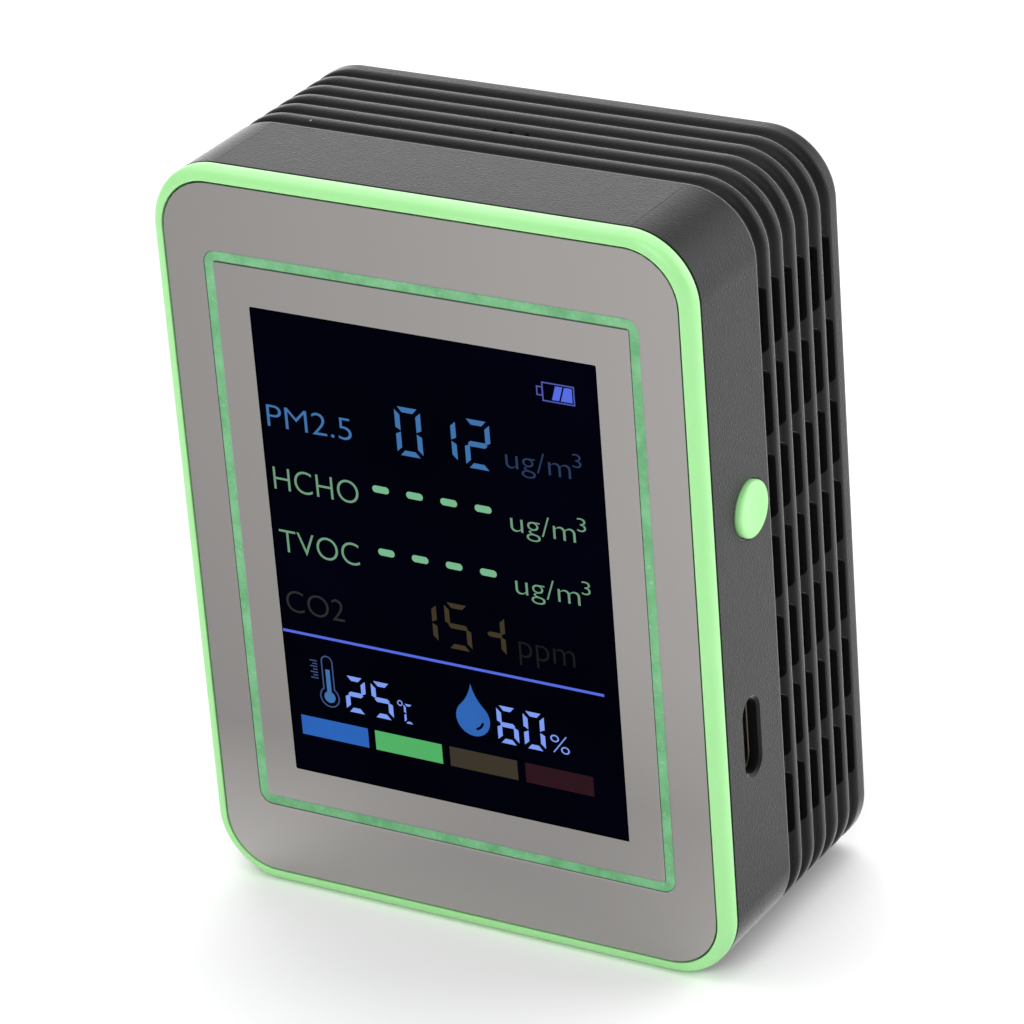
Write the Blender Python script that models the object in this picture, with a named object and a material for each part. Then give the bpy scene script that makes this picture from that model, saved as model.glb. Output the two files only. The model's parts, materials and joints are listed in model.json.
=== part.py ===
"""A desktop air quality monitor: a ribbed tub, a framed front with its display, and the electronics inside.

Metres, +Z up. The display faces -Y, the button and the socket are on the +X side, and the origin is the
middle of the footprint, on the surface that the monitor stands on. Run it in Blender 4.5.
"""

import math

import bmesh
import bpy
from mathutils import Matrix, Vector
from mathutils.geometry import tessellate_polygon

MM = 0.001

# The whole object
WIDTH = 66.7 * MM
HEIGHT = 88.0 * MM
DEPTH = 33.5 * MM
CORNER_RADIUS = 7.8 * MM
FRONT = -16.3 * MM
BACK = FRONT + DEPTH
MIDDLE = HEIGHT / 2
SEAM = 0.15 * MM  # the joint line between two outer shells
TOUCH = 0.1 * MM  # what two pieces that bear on each other keep between them
GAP = 0.3 * MM  # what two pieces that only pass each other keep

# Tub housing
WALL = 1.6 * MM
BACK_WALL = 1.8 * MM
BACK_EDGE_RADIUS = 1.1 * MM
GROOVES = 6
GROOVE_PITCH = 2.92 * MM
FIRST_GROOVE = -0.9 * MM
GROOVE_DEPTH = 0.77 * MM
GROOVE_LAND = 0.25 * MM  # the flat top of the rib between two grooves
CREST_SHARE = 0.6  # the part of the section's two radii that rounds off a rib, and the rest is the floor's
SLOT_ROWS = 7
SLOT_PITCH = 9.67 * MM
SLOT_LENGTH = 7.86 * MM
SLOT_WIDTH = 1.74 * MM
SOUND_HOLES = 3
SOUND_HOLE_RADIUS = 0.56 * MM
SOUND_HOLE_PITCH = 2.0 * MM
RIB_X = 26.0 * MM  # the two ribs that keep the battery in its place
RIB_THICKNESS = 1.0 * MM
RIB_DEPTH = 2.5 * MM
RIB_Z = (14.0 * MM, 40.0 * MM)
INNER_SIDE = WIDTH / 2 - WALL
INNER_BACK = BACK - BACK_WALL
INNER_TOP = HEIGHT - WALL

# Front frame
RIM_DEPTH = 1.95 * MM
RIM_LIP = 1.5 * MM
RIM_EDGE_RADIUS = 1.38 * MM
FLOOR_THICKNESS = 1.95 * MM
SKIRT = 1.2 * MM
SKIRT_LENGTH = 1.35 * MM
RIM_BACK = FRONT + RIM_DEPTH
WINDOW_WIDTH = 46.4 * MM
WINDOW_HEIGHT = 60.6 * MM
WINDOW_RADIUS = 1.0 * MM
POST_ROOT = 1.0 * MM  # how far posts and bosses start inside the floor
BOSS_BLIND = 0.6 * MM  # what a boss's pilot hole leaves of the floor

# Mirror panel and its inlaid line
PANEL_RECESS = 0.1 * MM
PANEL_THICKNESS = 1.0 * MM
PANEL_FRONT = FRONT + PANEL_RECESS
PANEL_BACK = PANEL_FRONT + PANEL_THICKNESS
POCKET_FLOOR = PANEL_BACK + TOUCH
FLOOR_BACK = POCKET_FLOOR + FLOOR_THICKNESS
LINE_WIDTH = 53.7 * MM
LINE_HEIGHT = 68.1 * MM
LINE_MIDDLE = 44.35 * MM
LINE_BREADTH = 1.15 * MM
LINE_RADIUS = 1.5 * MM
LINE_DEPTH = 0.6 * MM

# Display
DISPLAY_WIDTH = 42.7 * MM
DISPLAY_HEIGHT = 56.5 * MM
DISPLAY_MIDDLE = 44.1 * MM
DISPLAY_RADIUS = 0.2 * MM
DISPLAY_THICKNESS = 1.1 * MM
TRAY_THICKNESS = 2.5 * MM
TRAY_WALL = 0.9 * MM
TRAY_WIDTH = 45.6 * MM
TRAY_HEIGHT = 56.2 * MM
TRAY_MIDDLE = 45.9 * MM
TRAY_RADIUS = 1.2 * MM
TRAY_FLOOR = 0.6 * MM
GLASS_RECESS = 0.05 * MM
FLEX_WIDTH = 16.0 * MM
FLEX_THICKNESS = 0.15 * MM
FLEX_BEND = 0.45 * MM
FLEX_LEVELS = (17.2 * MM, 15.5 * MM, 14.6 * MM, 5.0 * MM, 9.4 * MM)  # z at each corner of its route
CONNECTOR_SIZE = (18.4 * MM, 1.6 * MM, 2.6 * MM)
CONNECTOR_BOTTOM = 9.7 * MM

# Main board
BOARD_WIDTH = 58.0 * MM
BOARD_BOTTOM = 7.0 * MM
BOARD_TOP = 82.0 * MM
BOARD_FRONT = -12.0 * MM
BOARD_BACK = -10.5 * MM
BOARD_NOTCH = (5.6 * MM, 3.8 * MM)
PARTS_ON_BOARD = BOARD_BACK + TOUCH
CO2_WIDTH = 10.2 * MM
CO2_SHOULDER = 5.9 * MM
CO2_HEIGHT = 6.5 * MM
CO2_PLACE = (-19.0 * MM, 72.0 * MM)
GAS_BASE_RADIUS = 4.9 * MM
GAS_BASE_HEIGHT = 1.4 * MM
GAS_CAP_RADIUS = 4.3 * MM
GAS_HEIGHT = 7.8 * MM
GAS_EDGE = 0.4 * MM
GAS_PLACE = (-20.0 * MM, 59.6 * MM)

# Screws and the posts that they hold
POST_X = 26.8 * MM
POST_LOW = 6.6 * MM
POST_HIGH = HEIGHT - POST_LOW
POST_RADIUS = 2.6 * MM
COLUMN_RADIUS = 3.3 * MM
POST_END = -2.0 * MM
HEAD_SEAT = 2.0 * MM
CASE_SCREW_RADIUS = 1.1 * MM
CASE_SCREW_HEAD = (2.1 * MM, 1.6 * MM)
CASE_SCREW_LENGTH = 11.0 * MM
BOSS_X = 26.6 * MM
BOSS_LOW = 16.0 * MM
BOSS_HIGH = 72.0 * MM
BOSS_RADIUS = 2.0 * MM
BOARD_SCREW_RADIUS = 0.75 * MM
BOARD_SCREW_HEAD = (1.9 * MM, 1.2 * MM)
BOARD_SCREW_LENGTH = 4.0 * MM

# Power button and its switch, both on one axis along X
BUTTON_Y = -6.4 * MM
BUTTON_Z = 53.7 * MM
BUTTON_RADIUS = 3.2 * MM
BUTTON_PROUD = 0.65 * MM
BUTTON_HOLE_RADIUS = 3.42 * MM
BUTTON_FLANGE_RADIUS = 4.2 * MM
BUTTON_FLANGE = 0.65 * MM
BUTTON_DISH = 0.16 * MM
BUTTON_DISH_RADIUS = 1.2 * MM
BUTTON_RING = (2.15 * MM, 2.6 * MM)  # the dish's rim and the crest round it
BUTTON_EDGE = 0.4 * MM
BUTTON_STEM_END = 30.5 * MM
SWITCH_FACE = 29.0 * MM
SWITCH_LENGTH = 4.2 * MM
SWITCH_WIDTH = 6.2 * MM
PLUNGER_RADIUS = 1.6 * MM
PLUNGER_TIP = BUTTON_STEM_END - GAP
PLUNGER_END = 27.2 * MM
PLUNGER_ROOM = 0.6 * MM

# Charging socket
SOCKET_Y = -8.7 * MM
SOCKET_Z = 27.4 * MM
SOCKET_MOUTH = 32.05 * MM
SOCKET_LENGTH = 7.3 * MM
SOCKET_OUTER = (3.16 * MM, 8.9 * MM)
SOCKET_WALL = 0.3 * MM
SOCKET_BACK_WALL = 0.6 * MM
SOCKET_HOLE = (3.45 * MM, 9.2 * MM)
TONGUE_SIZE = (0.7 * MM, 6.7 * MM)
TONGUE_RECESS = 0.9 * MM

# Dust sensor
SENSOR_LEFT = -7.4 * MM
SENSOR_RIGHT = 30.5 * MM
SENSOR_BOTTOM = 43.2 * MM
SENSOR_TOP = 77.8 * MM
SENSOR_FRONT = 1.2 * MM
SENSOR_BACK = 13.5 * MM
SENSOR_WALL = 1.2 * MM
COVER_THICKNESS = 1.2 * MM
SENSOR_DIVIDER_Z = SENSOR_BOTTOM + 19.8 * MM
SENSOR_INSIDE_BACK = SENSOR_BACK - SENSOR_WALL
PORT_Y = (4.2 * MM, 11.2 * MM)
INLET_Z = (SENSOR_TOP - 12.2 * MM, SENSOR_TOP - 2.4 * MM)
OUTLET_Z = (SENSOR_BOTTOM + 4.0 * MM, SENSOR_BOTTOM + 13.8 * MM)
LASER_X = -5.0 * MM
LASER_Z = SENSOR_TOP - 7.8 * MM
LASER_RADIUS = 2.6 * MM
LASER_LENGTH = 7.0 * MM
LASER_NOSE = (1.7 * MM, 9.0 * MM)
DETECTOR_X = 13.0 * MM
DETECTOR_SIZE = (4.0 * MM, 1.8 * MM, 5.0 * MM)
DIVIDER_THICKNESS = 1.0 * MM
SENSOR_BOARD_THICKNESS = 0.9 * MM
SEAL_MARGIN = 1.6 * MM
PAD_MARGIN = 4.0 * MM

# Fan, on an axis along Y
FAN_X = 20.2 * MM
FAN_Z = SENSOR_BOTTOM + 10.2 * MM
FAN_RADIUS = 7.6 * MM
FAN_BLADES = 9
FAN_FRONT = 3.6 * MM
FAN_BACK = 9.6 * MM
HUB_RADIUS = 4.6 * MM
HUB_WALL = 0.7 * MM
HUB_FLOOR = 0.9 * MM
BLADE_THICKNESS = 0.6 * MM
SHAFT_RADIUS = 0.55 * MM
SHAFT_CLEARANCE = 0.06 * MM
BEARING_RADIUS = 1.2 * MM
MOTOR_RADIUS = 3.4 * MM
MOTOR_BASE_RADIUS = 5.4 * MM
MOTOR_GAP = 0.5 * MM  # between the hub's floor and the motor

# Battery
BATTERY_SIZE = (50.0 * MM, 5.3 * MM, 32.6 * MM)
BATTERY_MIDDLE = (0.0, 10.85 * MM, 26.5 * MM)
BATTERY_EDGE = 1.2 * MM
BATTERY_RADIUS = 2.5 * MM
LEAD_RADIUS = 0.6 * MM
THIN_LEAD_RADIUS = 0.4 * MM
CABLE_THICKNESS = 0.9 * MM
CABLE_WIDTH = 9.0 * MM
CABLE_BEND = 3.0 * MM
CABLE_X = -14.0 * MM
CABLE_END = -6.0 * MM
CABLE_Z = 50.0 * MM

# Buzzer, on an axis along Z under the sound holes
BUZZER_Y = FIRST_GROOVE + 2 * GROOVE_PITCH
BUZZER_RADIUS = 4.8 * MM
BUZZER_BOTTOM = 80.4 * MM
BUZZER_TOP = 85.6 * MM
CUP_WALL = 0.9 * MM
CUP_HEIGHT = 2.8 * MM

# A pinched radius keeps a straight stretch between the two half rounds of a stadium
PINCH = 0.01 * MM

CORNER_STEPS = 6
FINE_STEPS = 28
ROUND_STEPS = 16

# Colour, roughness and metallic of each material
FINISHES = {
    "dark_shell": ((0.16, 0.16, 0.165, 1), 0.6, 0.0),
    "green_frame": ((0.45, 0.93, 0.40, 1), 0.4, 0.0),
    "mirror_panel": ((0.62, 0.60, 0.59, 1), 0.08, 1.0),
    "green_line": ((0.20, 0.47, 0.27, 1), 0.2, 0.0),
    "display_black": ((0.004, 0.004, 0.008, 1), 0.08, 0.0),
    "white_plastic": ((0.85, 0.85, 0.83, 1), 0.5, 0.0),
    "clear_plastic": ((0.9, 0.93, 0.95, 0.4), 0.1, 0.0),
    "amber_film": ((0.75, 0.42, 0.10, 1), 0.35, 0.0),
    "green_board": ((0.02, 0.16, 0.07, 1), 0.4, 0.0),
    "black_plastic": ((0.02, 0.02, 0.022, 1), 0.45, 0.0),
    "cream_plastic": ((0.82, 0.78, 0.66, 1), 0.5, 0.0),
    "steel": ((0.62, 0.62, 0.62, 1), 0.3, 1.0),
    "brass": ((0.78, 0.60, 0.28, 1), 0.3, 1.0),
    "silver_pouch": ((0.68, 0.69, 0.70, 1), 0.35, 0.6),
    "foam": ((0.05, 0.05, 0.05, 1), 0.95, 0.0),
    "blue_case": ((0.05, 0.17, 0.42, 1), 0.4, 0.0),
    "red_lead": ((0.65, 0.03, 0.03, 1), 0.4, 0.0),
    "black_lead": ((0.02, 0.02, 0.02, 1), 0.4, 0.0),
}


def finish(name):
    """The material of this name, made once."""
    material = bpy.data.materials.get(name)
    if material:
        return material
    colour, roughness, metallic = FINISHES[name]
    material = bpy.data.materials.new(name)
    material.use_nodes = True
    surface = material.node_tree.nodes["Principled BSDF"].inputs
    surface["Base Color"].default_value = colour
    surface["Roughness"].default_value = roughness
    surface["Metallic"].default_value = metallic
    surface["Alpha"].default_value = colour[3]
    return material


# Shapes: each function returns (points, faces) of one closed body.


def rounded(width, height, radius, middle=(0.0, 0.0), steps=CORNER_STEPS):
    """The points of a rounded rectangle in a plane, anticlockwise from its right side."""
    points = []
    for quarter in range(4):
        right = 1 if quarter in (0, 3) else -1
        upper = 1 if quarter in (0, 1) else -1
        corner_x = middle[0] + right * (width / 2 - radius)
        corner_z = middle[1] + upper * (height / 2 - radius)
        for step in range(steps + 1):
            angle = (quarter + step / steps) * math.pi / 2
            points.append((corner_x + radius * math.cos(angle), corner_z + radius * math.sin(angle)))
    return points


def circle(radius, middle=(0.0, 0.0), steps=ROUND_STEPS):
    """The points of a circle in a plane."""
    turns = [2 * math.pi * step / steps for step in range(steps)]
    return [(middle[0] + radius * math.cos(a), middle[1] + radius * math.sin(a)) for a in turns]


def inset_outline(inset, steps=CORNER_STEPS):
    """The monitor's front outline, moved inwards all round."""
    return rounded(WIDTH - 2 * inset, HEIGHT - 2 * inset, CORNER_RADIUS - inset, (0, MIDDLE), steps)


def skin(loops, closed):
    """Joins loops of (x, y, z) points, each with as many points: into a ring, or capped at both ends."""
    count = len(loops[0])
    points = [point for loop in loops for point in loop]
    faces = []
    last = len(loops) if closed else len(loops) - 1
    for row in range(last):
        here = row * count
        there = (row + 1) % len(loops) * count
        for i in range(count):
            j = (i + 1) % count
            faces.append((here + i, here + j, there + j, there + i))
    if not closed:
        faces.append(tuple(range(count)))
        faces.append(tuple(range(len(points) - count, len(points))))
    return points, faces


def layered(stations, closed=False):
    """A body made of outlines in XZ planes: stations are (outline, y)."""
    return skin([[(x, y, z) for x, z in outline] for outline, y in stations], closed)


def plate(outline, front, back, holes=()):
    """A flat plate in the XZ plane from y = front to y = back, with holes right through."""
    rings = [outline, *holes]
    flat = [(x, z) for ring in rings for x, z in ring]
    count = len(flat)
    points = [(x, front, z) for x, z in flat] + [(x, back, z) for x, z in flat]
    cap = tessellate_polygon([[Vector((x, z, 0)) for x, z in ring] for ring in rings])
    faces = [tuple(corner) for corner in cap]
    faces += [tuple(corner + count for corner in triangle) for triangle in cap]
    start = 0
    for ring in rings:
        for i in range(len(ring)):
            here = start + i
            there = start + (i + 1) % len(ring)
            faces.append((here, there, there + count, here + count))
        start += len(ring)
    return points, faces


def box(low, high):
    """A box between two corners."""
    outline = [(low[0], low[2]), (high[0], low[2]), (high[0], high[2]), (low[0], high[2])]
    return layered([(outline, low[1]), (outline, high[1])])


def turned(profile, steps=ROUND_STEPS, closed=False):
    """A body turned about Y from (radius, y) points. An open profile starts and ends with a disc."""
    return layered([(circle(radius, steps=steps), y) for radius, y in profile], closed)


def rod(radius, start, end, middle=(0.0, 0.0), steps=ROUND_STEPS):
    """A plain cylinder along Y, at (x, z)."""
    return layered([(circle(radius, middle, steps), start), (circle(radius, middle, steps), end)])


def moved(shape, matrix):
    """The shape, placed by a matrix."""
    points, faces = shape
    return [tuple(matrix @ Vector(point)) for point in points], faces


ALONG_X = Matrix.Rotation(-math.pi / 2, 4, "Z")  # turns what runs along +Y to run along +X
ALONG_Z = Matrix.Rotation(math.pi / 2, 4, "X")  # turns what runs along +Y to run along +Z
SWAP_XY = Matrix(((0, 1, 0, 0), (1, 0, 0, 0), (0, 0, 1, 0), (0, 0, 0, 1)))


def at(x, y, z):
    """The matrix that moves a shape there."""
    return Matrix.Translation((x, y, z))


# Objects


def mesh_of(name, shapes):
    """One mesh of one or more closed bodies, with their faces pointing out."""
    points, faces = [], []
    for shape_points, shape_faces in shapes:
        start = len(points)
        points += shape_points
        faces += [tuple(start + corner for corner in face) for face in shape_faces]
    mesh = bpy.data.meshes.new(name)
    mesh.from_pydata(points, [], faces)
    work = bmesh.new()
    work.from_mesh(mesh)
    bmesh.ops.recalc_face_normals(work, faces=work.faces)
    work.to_mesh(mesh)
    work.free()
    return mesh


def piece(name, material, shape, where=(0, 0, 0), smooth=False):
    """One sub-part, made round its own origin and placed there, as a child of the monitor's empty."""
    mesh = shape if isinstance(shape, bpy.types.Mesh) else mesh_of(name, [shape])
    made = bpy.data.objects.new(name, mesh)
    bpy.context.scene.collection.objects.link(made)
    made.parent = bpy.data.objects["monitor"]
    made.location = where
    if not mesh.materials:
        mesh.materials.append(finish(material))
    if smooth:
        mesh.shade_smooth()
        mesh.set_sharp_from_angle(angle=math.radians(35))
    return made


def combine(made, operation, shapes):
    """Cuts shapes from a piece, or joins them to it, with a Boolean whose other mesh isn't rendered."""
    name = f"{made.name}_{operation.lower()}_{len(made.modifiers)}"
    helper = bpy.data.objects.new(name, mesh_of(name, shapes))
    bpy.context.scene.collection.objects.link(helper)
    helper.parent = made
    helper.hide_render = True
    helper.display_type = "WIRE"
    boolean = made.modifiers.new(operation.title(), "BOOLEAN")
    boolean.operation = operation
    boolean.object = helper


def corners(x, low, high):
    """The four places of a set of posts, bosses or screws: (x, z)."""
    return [(side * x, z) for z in (low, high) for side in (-1, 1)]


# The outer shells


def groove_middle(number):
    """The y of a groove, counted from the front."""
    return FIRST_GROOVE + number * GROOVE_PITCH


def groove_section():
    """(depth, y) over a groove, from the rib behind it to the rib before it: round crests and a round floor."""
    half = (GROOVE_PITCH - GROOVE_LAND) / 2
    slope = 2 * math.atan2(GROOVE_DEPTH, half)
    both_radii = half / math.sin(slope)
    crest = CREST_SHARE * both_radii
    floor = both_radii - crest
    arc_steps = 2
    behind = []
    for step in range(arc_steps):
        angle = slope * step / arc_steps
        behind.append((crest * (1 - math.cos(angle)), half - crest * math.sin(angle)))
    for step in reversed(range(1, arc_steps + 1)):
        angle = slope * step / arc_steps
        behind.append((GROOVE_DEPTH - floor * (1 - math.cos(angle)), floor * math.sin(angle)))
    before = [(depth, -y) for depth, y in reversed(behind)]
    return behind + [(GROOVE_DEPTH, 0.0)] + before


def housing_outside():
    """(inset, y) of the tub's outer skin, from the middle of its back to its front edge."""
    stations = []
    edge_steps = 3
    for step in range(edge_steps + 1):
        angle = step / edge_steps * math.pi / 2
        inset = BACK_EDGE_RADIUS * (1 - math.sin(angle))
        stations.append((inset, BACK - BACK_EDGE_RADIUS * (1 - math.cos(angle))))
    for number in reversed(range(GROOVES)):
        for depth, y in groove_section():
            stations.append((depth, groove_middle(number) + y))
    stations.append((0.0, RIM_BACK + SEAM))
    return stations


def vent_slots():
    """Cutters for the rows of slots in the floors of the grooves, through both sides."""
    outline = rounded(SLOT_WIDTH, SLOT_LENGTH, SLOT_WIDTH / 2 - PINCH, steps=2)
    shapes = []
    for side in (-1, 1):
        ends = sorted((side * (INNER_SIDE - WALL), side * (WIDTH / 2 + WALL)))
        cutter = moved(layered([(outline, end) for end in ends]), ALONG_X)
        for groove in range(GROOVES):
            for row in range(SLOT_ROWS):
                z = MIDDLE + (row - (SLOT_ROWS - 1) / 2) * SLOT_PITCH
                shapes.append(moved(cutter, at(0, groove_middle(groove), z)))
    return shapes


def housing():
    """The ribbed tub, with its vents, its openings and the columns that the case screws pass through."""
    stations = [(inset_outline(inset), y) for inset, y in housing_outside()]
    stations.append((inset_outline(WALL), RIM_BACK + SEAM))
    stations.append((inset_outline(WALL), INNER_BACK))
    tub = piece("housing", "dark_shell", layered(stations))

    columns = [rod(COLUMN_RADIUS, POST_END + GAP, INNER_BACK + WALL / 2, place)
               for place in corners(POST_X, POST_LOW, POST_HIGH)]
    ribs = [box((x - RIB_THICKNESS / 2, INNER_BACK - RIB_DEPTH, RIB_Z[0]),
                (x + RIB_THICKNESS / 2, INNER_BACK + WALL / 2, RIB_Z[1])) for x in (-RIB_X, RIB_X)]
    cup_inner = BUZZER_RADIUS + GAP
    cup_outer = cup_inner + CUP_WALL
    cup = turned([(cup_inner, -CUP_HEIGHT), (cup_outer, -CUP_HEIGHT),
                  (cup_outer, WALL / 2), (cup_inner, WALL / 2)], 24, closed=True)
    cup = moved(cup, at(0, BUZZER_Y, INNER_TOP) @ ALONG_Z)
    combine(tub, "UNION", columns + ribs + [cup])

    cuts = vent_slots()
    head_room = CASE_SCREW_HEAD[0] + GAP
    shank_room = CASE_SCREW_RADIUS + GAP / 2
    for x, z in corners(POST_X, POST_LOW, POST_HIGH):
        bore = turned([(shank_room, POST_END - GAP), (shank_room, HEAD_SEAT),
                       (head_room, HEAD_SEAT), (head_room, BACK + GAP)])
        cuts.append(moved(bore, at(x, 0, z)))
    button_bore = moved(rod(BUTTON_HOLE_RADIUS, INNER_SIDE - GAP, WIDTH / 2 + GAP, steps=FINE_STEPS), ALONG_X)
    cuts.append(moved(button_bore, at(0, BUTTON_Y, BUTTON_Z)))
    mouth = rounded(*SOCKET_HOLE, SOCKET_HOLE[0] / 2 - PINCH, steps=5)
    socket_hole = moved(layered([(mouth, INNER_SIDE - GAP), (mouth, WIDTH / 2 + GAP)]), ALONG_X)
    cuts.append(moved(socket_hole, at(0, SOCKET_Y, SOCKET_Z)))
    for hole in range(SOUND_HOLES):
        x = (hole - (SOUND_HOLES - 1) / 2) * SOUND_HOLE_PITCH
        drill = moved(rod(SOUND_HOLE_RADIUS, INNER_TOP - GAP, HEIGHT + GAP, steps=10), ALONG_Z)
        cuts.append(moved(drill, at(x, BUZZER_Y, 0)))
    combine(tub, "DIFFERENCE", cuts)
    return tub


def front_frame():
    """The green frame: its rim shows, and behind it are the panel's pocket, the skirt, posts and bosses."""
    window = rounded(WINDOW_WIDTH, WINDOW_HEIGHT, WINDOW_RADIUS, (0, DISPLAY_MIDDLE))
    skirt_outer = WALL + GAP
    skirt_inner = skirt_outer + SKIRT
    skirt_end = FLOOR_BACK + SKIRT_LENGTH
    rim_steps = 4
    rim_edge = []
    for step in range(rim_steps + 1):
        angle = step / rim_steps * math.pi / 2
        inset = RIM_EDGE_RADIUS * (1 - math.cos(angle))
        rim_edge.append((inset_outline(inset), FRONT + RIM_EDGE_RADIUS * (1 - math.sin(angle))))
    frame = piece("front_frame", "green_frame", layered([
        (inset_outline(0), RIM_BACK),
        *rim_edge,
        (inset_outline(RIM_LIP), FRONT),
        (inset_outline(RIM_LIP), POCKET_FLOOR),
        (window, POCKET_FLOOR),
        (window, FLOOR_BACK),
        (inset_outline(skirt_inner), FLOOR_BACK),
        (inset_outline(skirt_inner), skirt_end),
        (inset_outline(skirt_outer), skirt_end),
        (inset_outline(skirt_outer), RIM_BACK),
    ], closed=True))
    into_floor = FLOOR_BACK - POST_ROOT
    posts = [rod(POST_RADIUS, into_floor, POST_END, place) for place in corners(POST_X, POST_LOW, POST_HIGH)]
    bosses = [rod(BOSS_RADIUS, into_floor, BOARD_FRONT - TOUCH, place)
              for place in corners(BOSS_X, BOSS_LOW, BOSS_HIGH)]
    combine(frame, "UNION", posts + bosses)
    pilots = [rod(CASE_SCREW_RADIUS + TOUCH, FLOOR_BACK, POST_END + GAP, place)
              for place in corners(POST_X, POST_LOW, POST_HIGH)]
    pilots += [rod(BOARD_SCREW_RADIUS + TOUCH, POCKET_FLOOR + BOSS_BLIND, BOARD_FRONT + GAP, place)
               for place in corners(BOSS_X, BOSS_LOW, BOSS_HIGH)]
    combine(frame, "DIFFERENCE", pilots)
    return frame


def line_outline(inset):
    """The outline of the inlaid line, moved inwards."""
    return rounded(LINE_WIDTH - 2 * inset, LINE_HEIGHT - 2 * inset, LINE_RADIUS - inset, (0, LINE_MIDDLE))


def front_panel():
    """The mirrored panel, with the display's cut-out and the channel for the green line."""
    edge = inset_outline(RIM_LIP + SEAM)
    cut_out = rounded(
        DISPLAY_WIDTH + 2 * SEAM, DISPLAY_HEIGHT + 2 * SEAM, DISPLAY_RADIUS, (0, DISPLAY_MIDDLE))
    channel = PANEL_FRONT + LINE_DEPTH
    return piece("front_panel", "mirror_panel", layered([
        (edge, PANEL_FRONT),
        (line_outline(0), PANEL_FRONT),
        (line_outline(0), channel),
        (line_outline(LINE_BREADTH), channel),
        (line_outline(LINE_BREADTH), PANEL_FRONT),
        (cut_out, PANEL_FRONT),
        (cut_out, PANEL_BACK),
        (edge, PANEL_BACK),
    ], closed=True))


def accent_line():
    """The green strip that lies in the panel's channel, a little below its face."""
    front, back = PANEL_FRONT + TOUCH, PANEL_FRONT + LINE_DEPTH - TOUCH
    return piece("accent_line", "green_line", layered([
        (line_outline(TOUCH), front),
        (line_outline(LINE_BREADTH - TOUCH), front),
        (line_outline(LINE_BREADTH - TOUCH), back),
        (line_outline(TOUCH), back),
    ], closed=True))


# The display


def rounded_path(points, radius, steps=4):
    """A line through these points, its corners turned by arcs."""
    path = [points[0]]
    for before, corner, after in zip(points, points[1:], points[2:]):
        before, corner, after = Vector(before), Vector(corner), Vector(after)
        arriving, leaving = (corner - before).normalized(), (after - corner).normalized()
        half_turn = arriving.angle(leaving) / 2
        reach = radius * math.tan(half_turn)
        centre = corner + (leaving - arriving).normalized() * radius / math.cos(half_turn)
        start = corner - arriving * reach - centre
        end = corner + leaving * reach - centre
        for step in range(steps + 1):
            path.append(tuple(centre + radius * start.slerp(end, step / steps)))
    return path + [points[-1]]


def strip_outline(path, thickness):
    """The outline of a strip of this thickness that follows a plane path."""
    sides = []
    for i, point in enumerate(path):
        ahead = Vector(path[min(i + 1, len(path) - 1)]) - Vector(path[max(i - 1, 0)])
        across = Vector((-ahead.y, ahead.x)).normalized() * thickness / 2
        sides.append((Vector(point) + across, Vector(point) - across))
    return [tuple(left) for left, _ in sides] + [tuple(right) for _, right in reversed(sides)]


def ribbon(path, thickness, low, high):
    """A flat strip whose path lies in a plane of X and Z, reaching from y = low to y = high."""
    outline = strip_outline(path, thickness)
    return layered([(outline, low), (outline, high)])


def display():
    """The glass cell, the backlight behind it and the flexible circuit to the main board."""
    glass = rounded(DISPLAY_WIDTH, DISPLAY_HEIGHT, DISPLAY_RADIUS, (0, DISPLAY_MIDDLE), 3)
    glass_front = PANEL_FRONT + GLASS_RECESS
    glass_back = glass_front + DISPLAY_THICKNESS
    piece("display_glass", "display_black", plate(glass, glass_front, glass_back))

    tray_front = glass_back + SEAM
    tray_back = tray_front + TRAY_THICKNESS
    pocket = TRAY_WIDTH - 2 * TRAY_WALL, TRAY_HEIGHT - 2 * TRAY_WALL
    middle = (0, TRAY_MIDDLE)
    outer = rounded(TRAY_WIDTH, TRAY_HEIGHT, TRAY_RADIUS, middle, 3)
    inner = rounded(*pocket, TRAY_RADIUS / 2, middle, 3)
    tray_floor = tray_back - TRAY_FLOOR
    piece("backlight_tray", "white_plastic", layered([
        (outer, tray_back), (outer, tray_front), (inner, tray_front), (inner, tray_floor)]))
    guide = rounded(pocket[0] - 2 * GAP, pocket[1] - 2 * GAP, TRAY_RADIUS / 2, middle, 3)
    piece("light_guide", "clear_plastic", plate(guide, tray_front + GAP, tray_floor - TOUCH))

    # The flexible circuit: from the cell's edge down past the frame's floor, under the board and up its back
    start = glass_back + SEAM
    between = (FLOOR_BACK + BOARD_FRONT) / 2
    behind = PARTS_ON_BOARD + TRAY_FLOOR
    edge, bend, past_floor, under_board, plugged = FLEX_LEVELS
    path = rounded_path([
        (start, edge), (start, bend), (between, past_floor),
        (between, under_board), (behind, under_board), (behind, plugged)], FLEX_BEND)
    strip = ribbon(path, FLEX_THICKNESS, -FLEX_WIDTH / 2, FLEX_WIDTH / 2)
    piece("display_flex", "amber_film", moved(strip, SWAP_XY))
    width, thickness, height = CONNECTOR_SIZE
    holder = box((-width / 2, 0, 0), (width / 2, thickness, height))
    piece("flex_connector", "cream_plastic", holder, (0, PARTS_ON_BOARD, CONNECTOR_BOTTOM))


# The main board and what is on it


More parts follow.
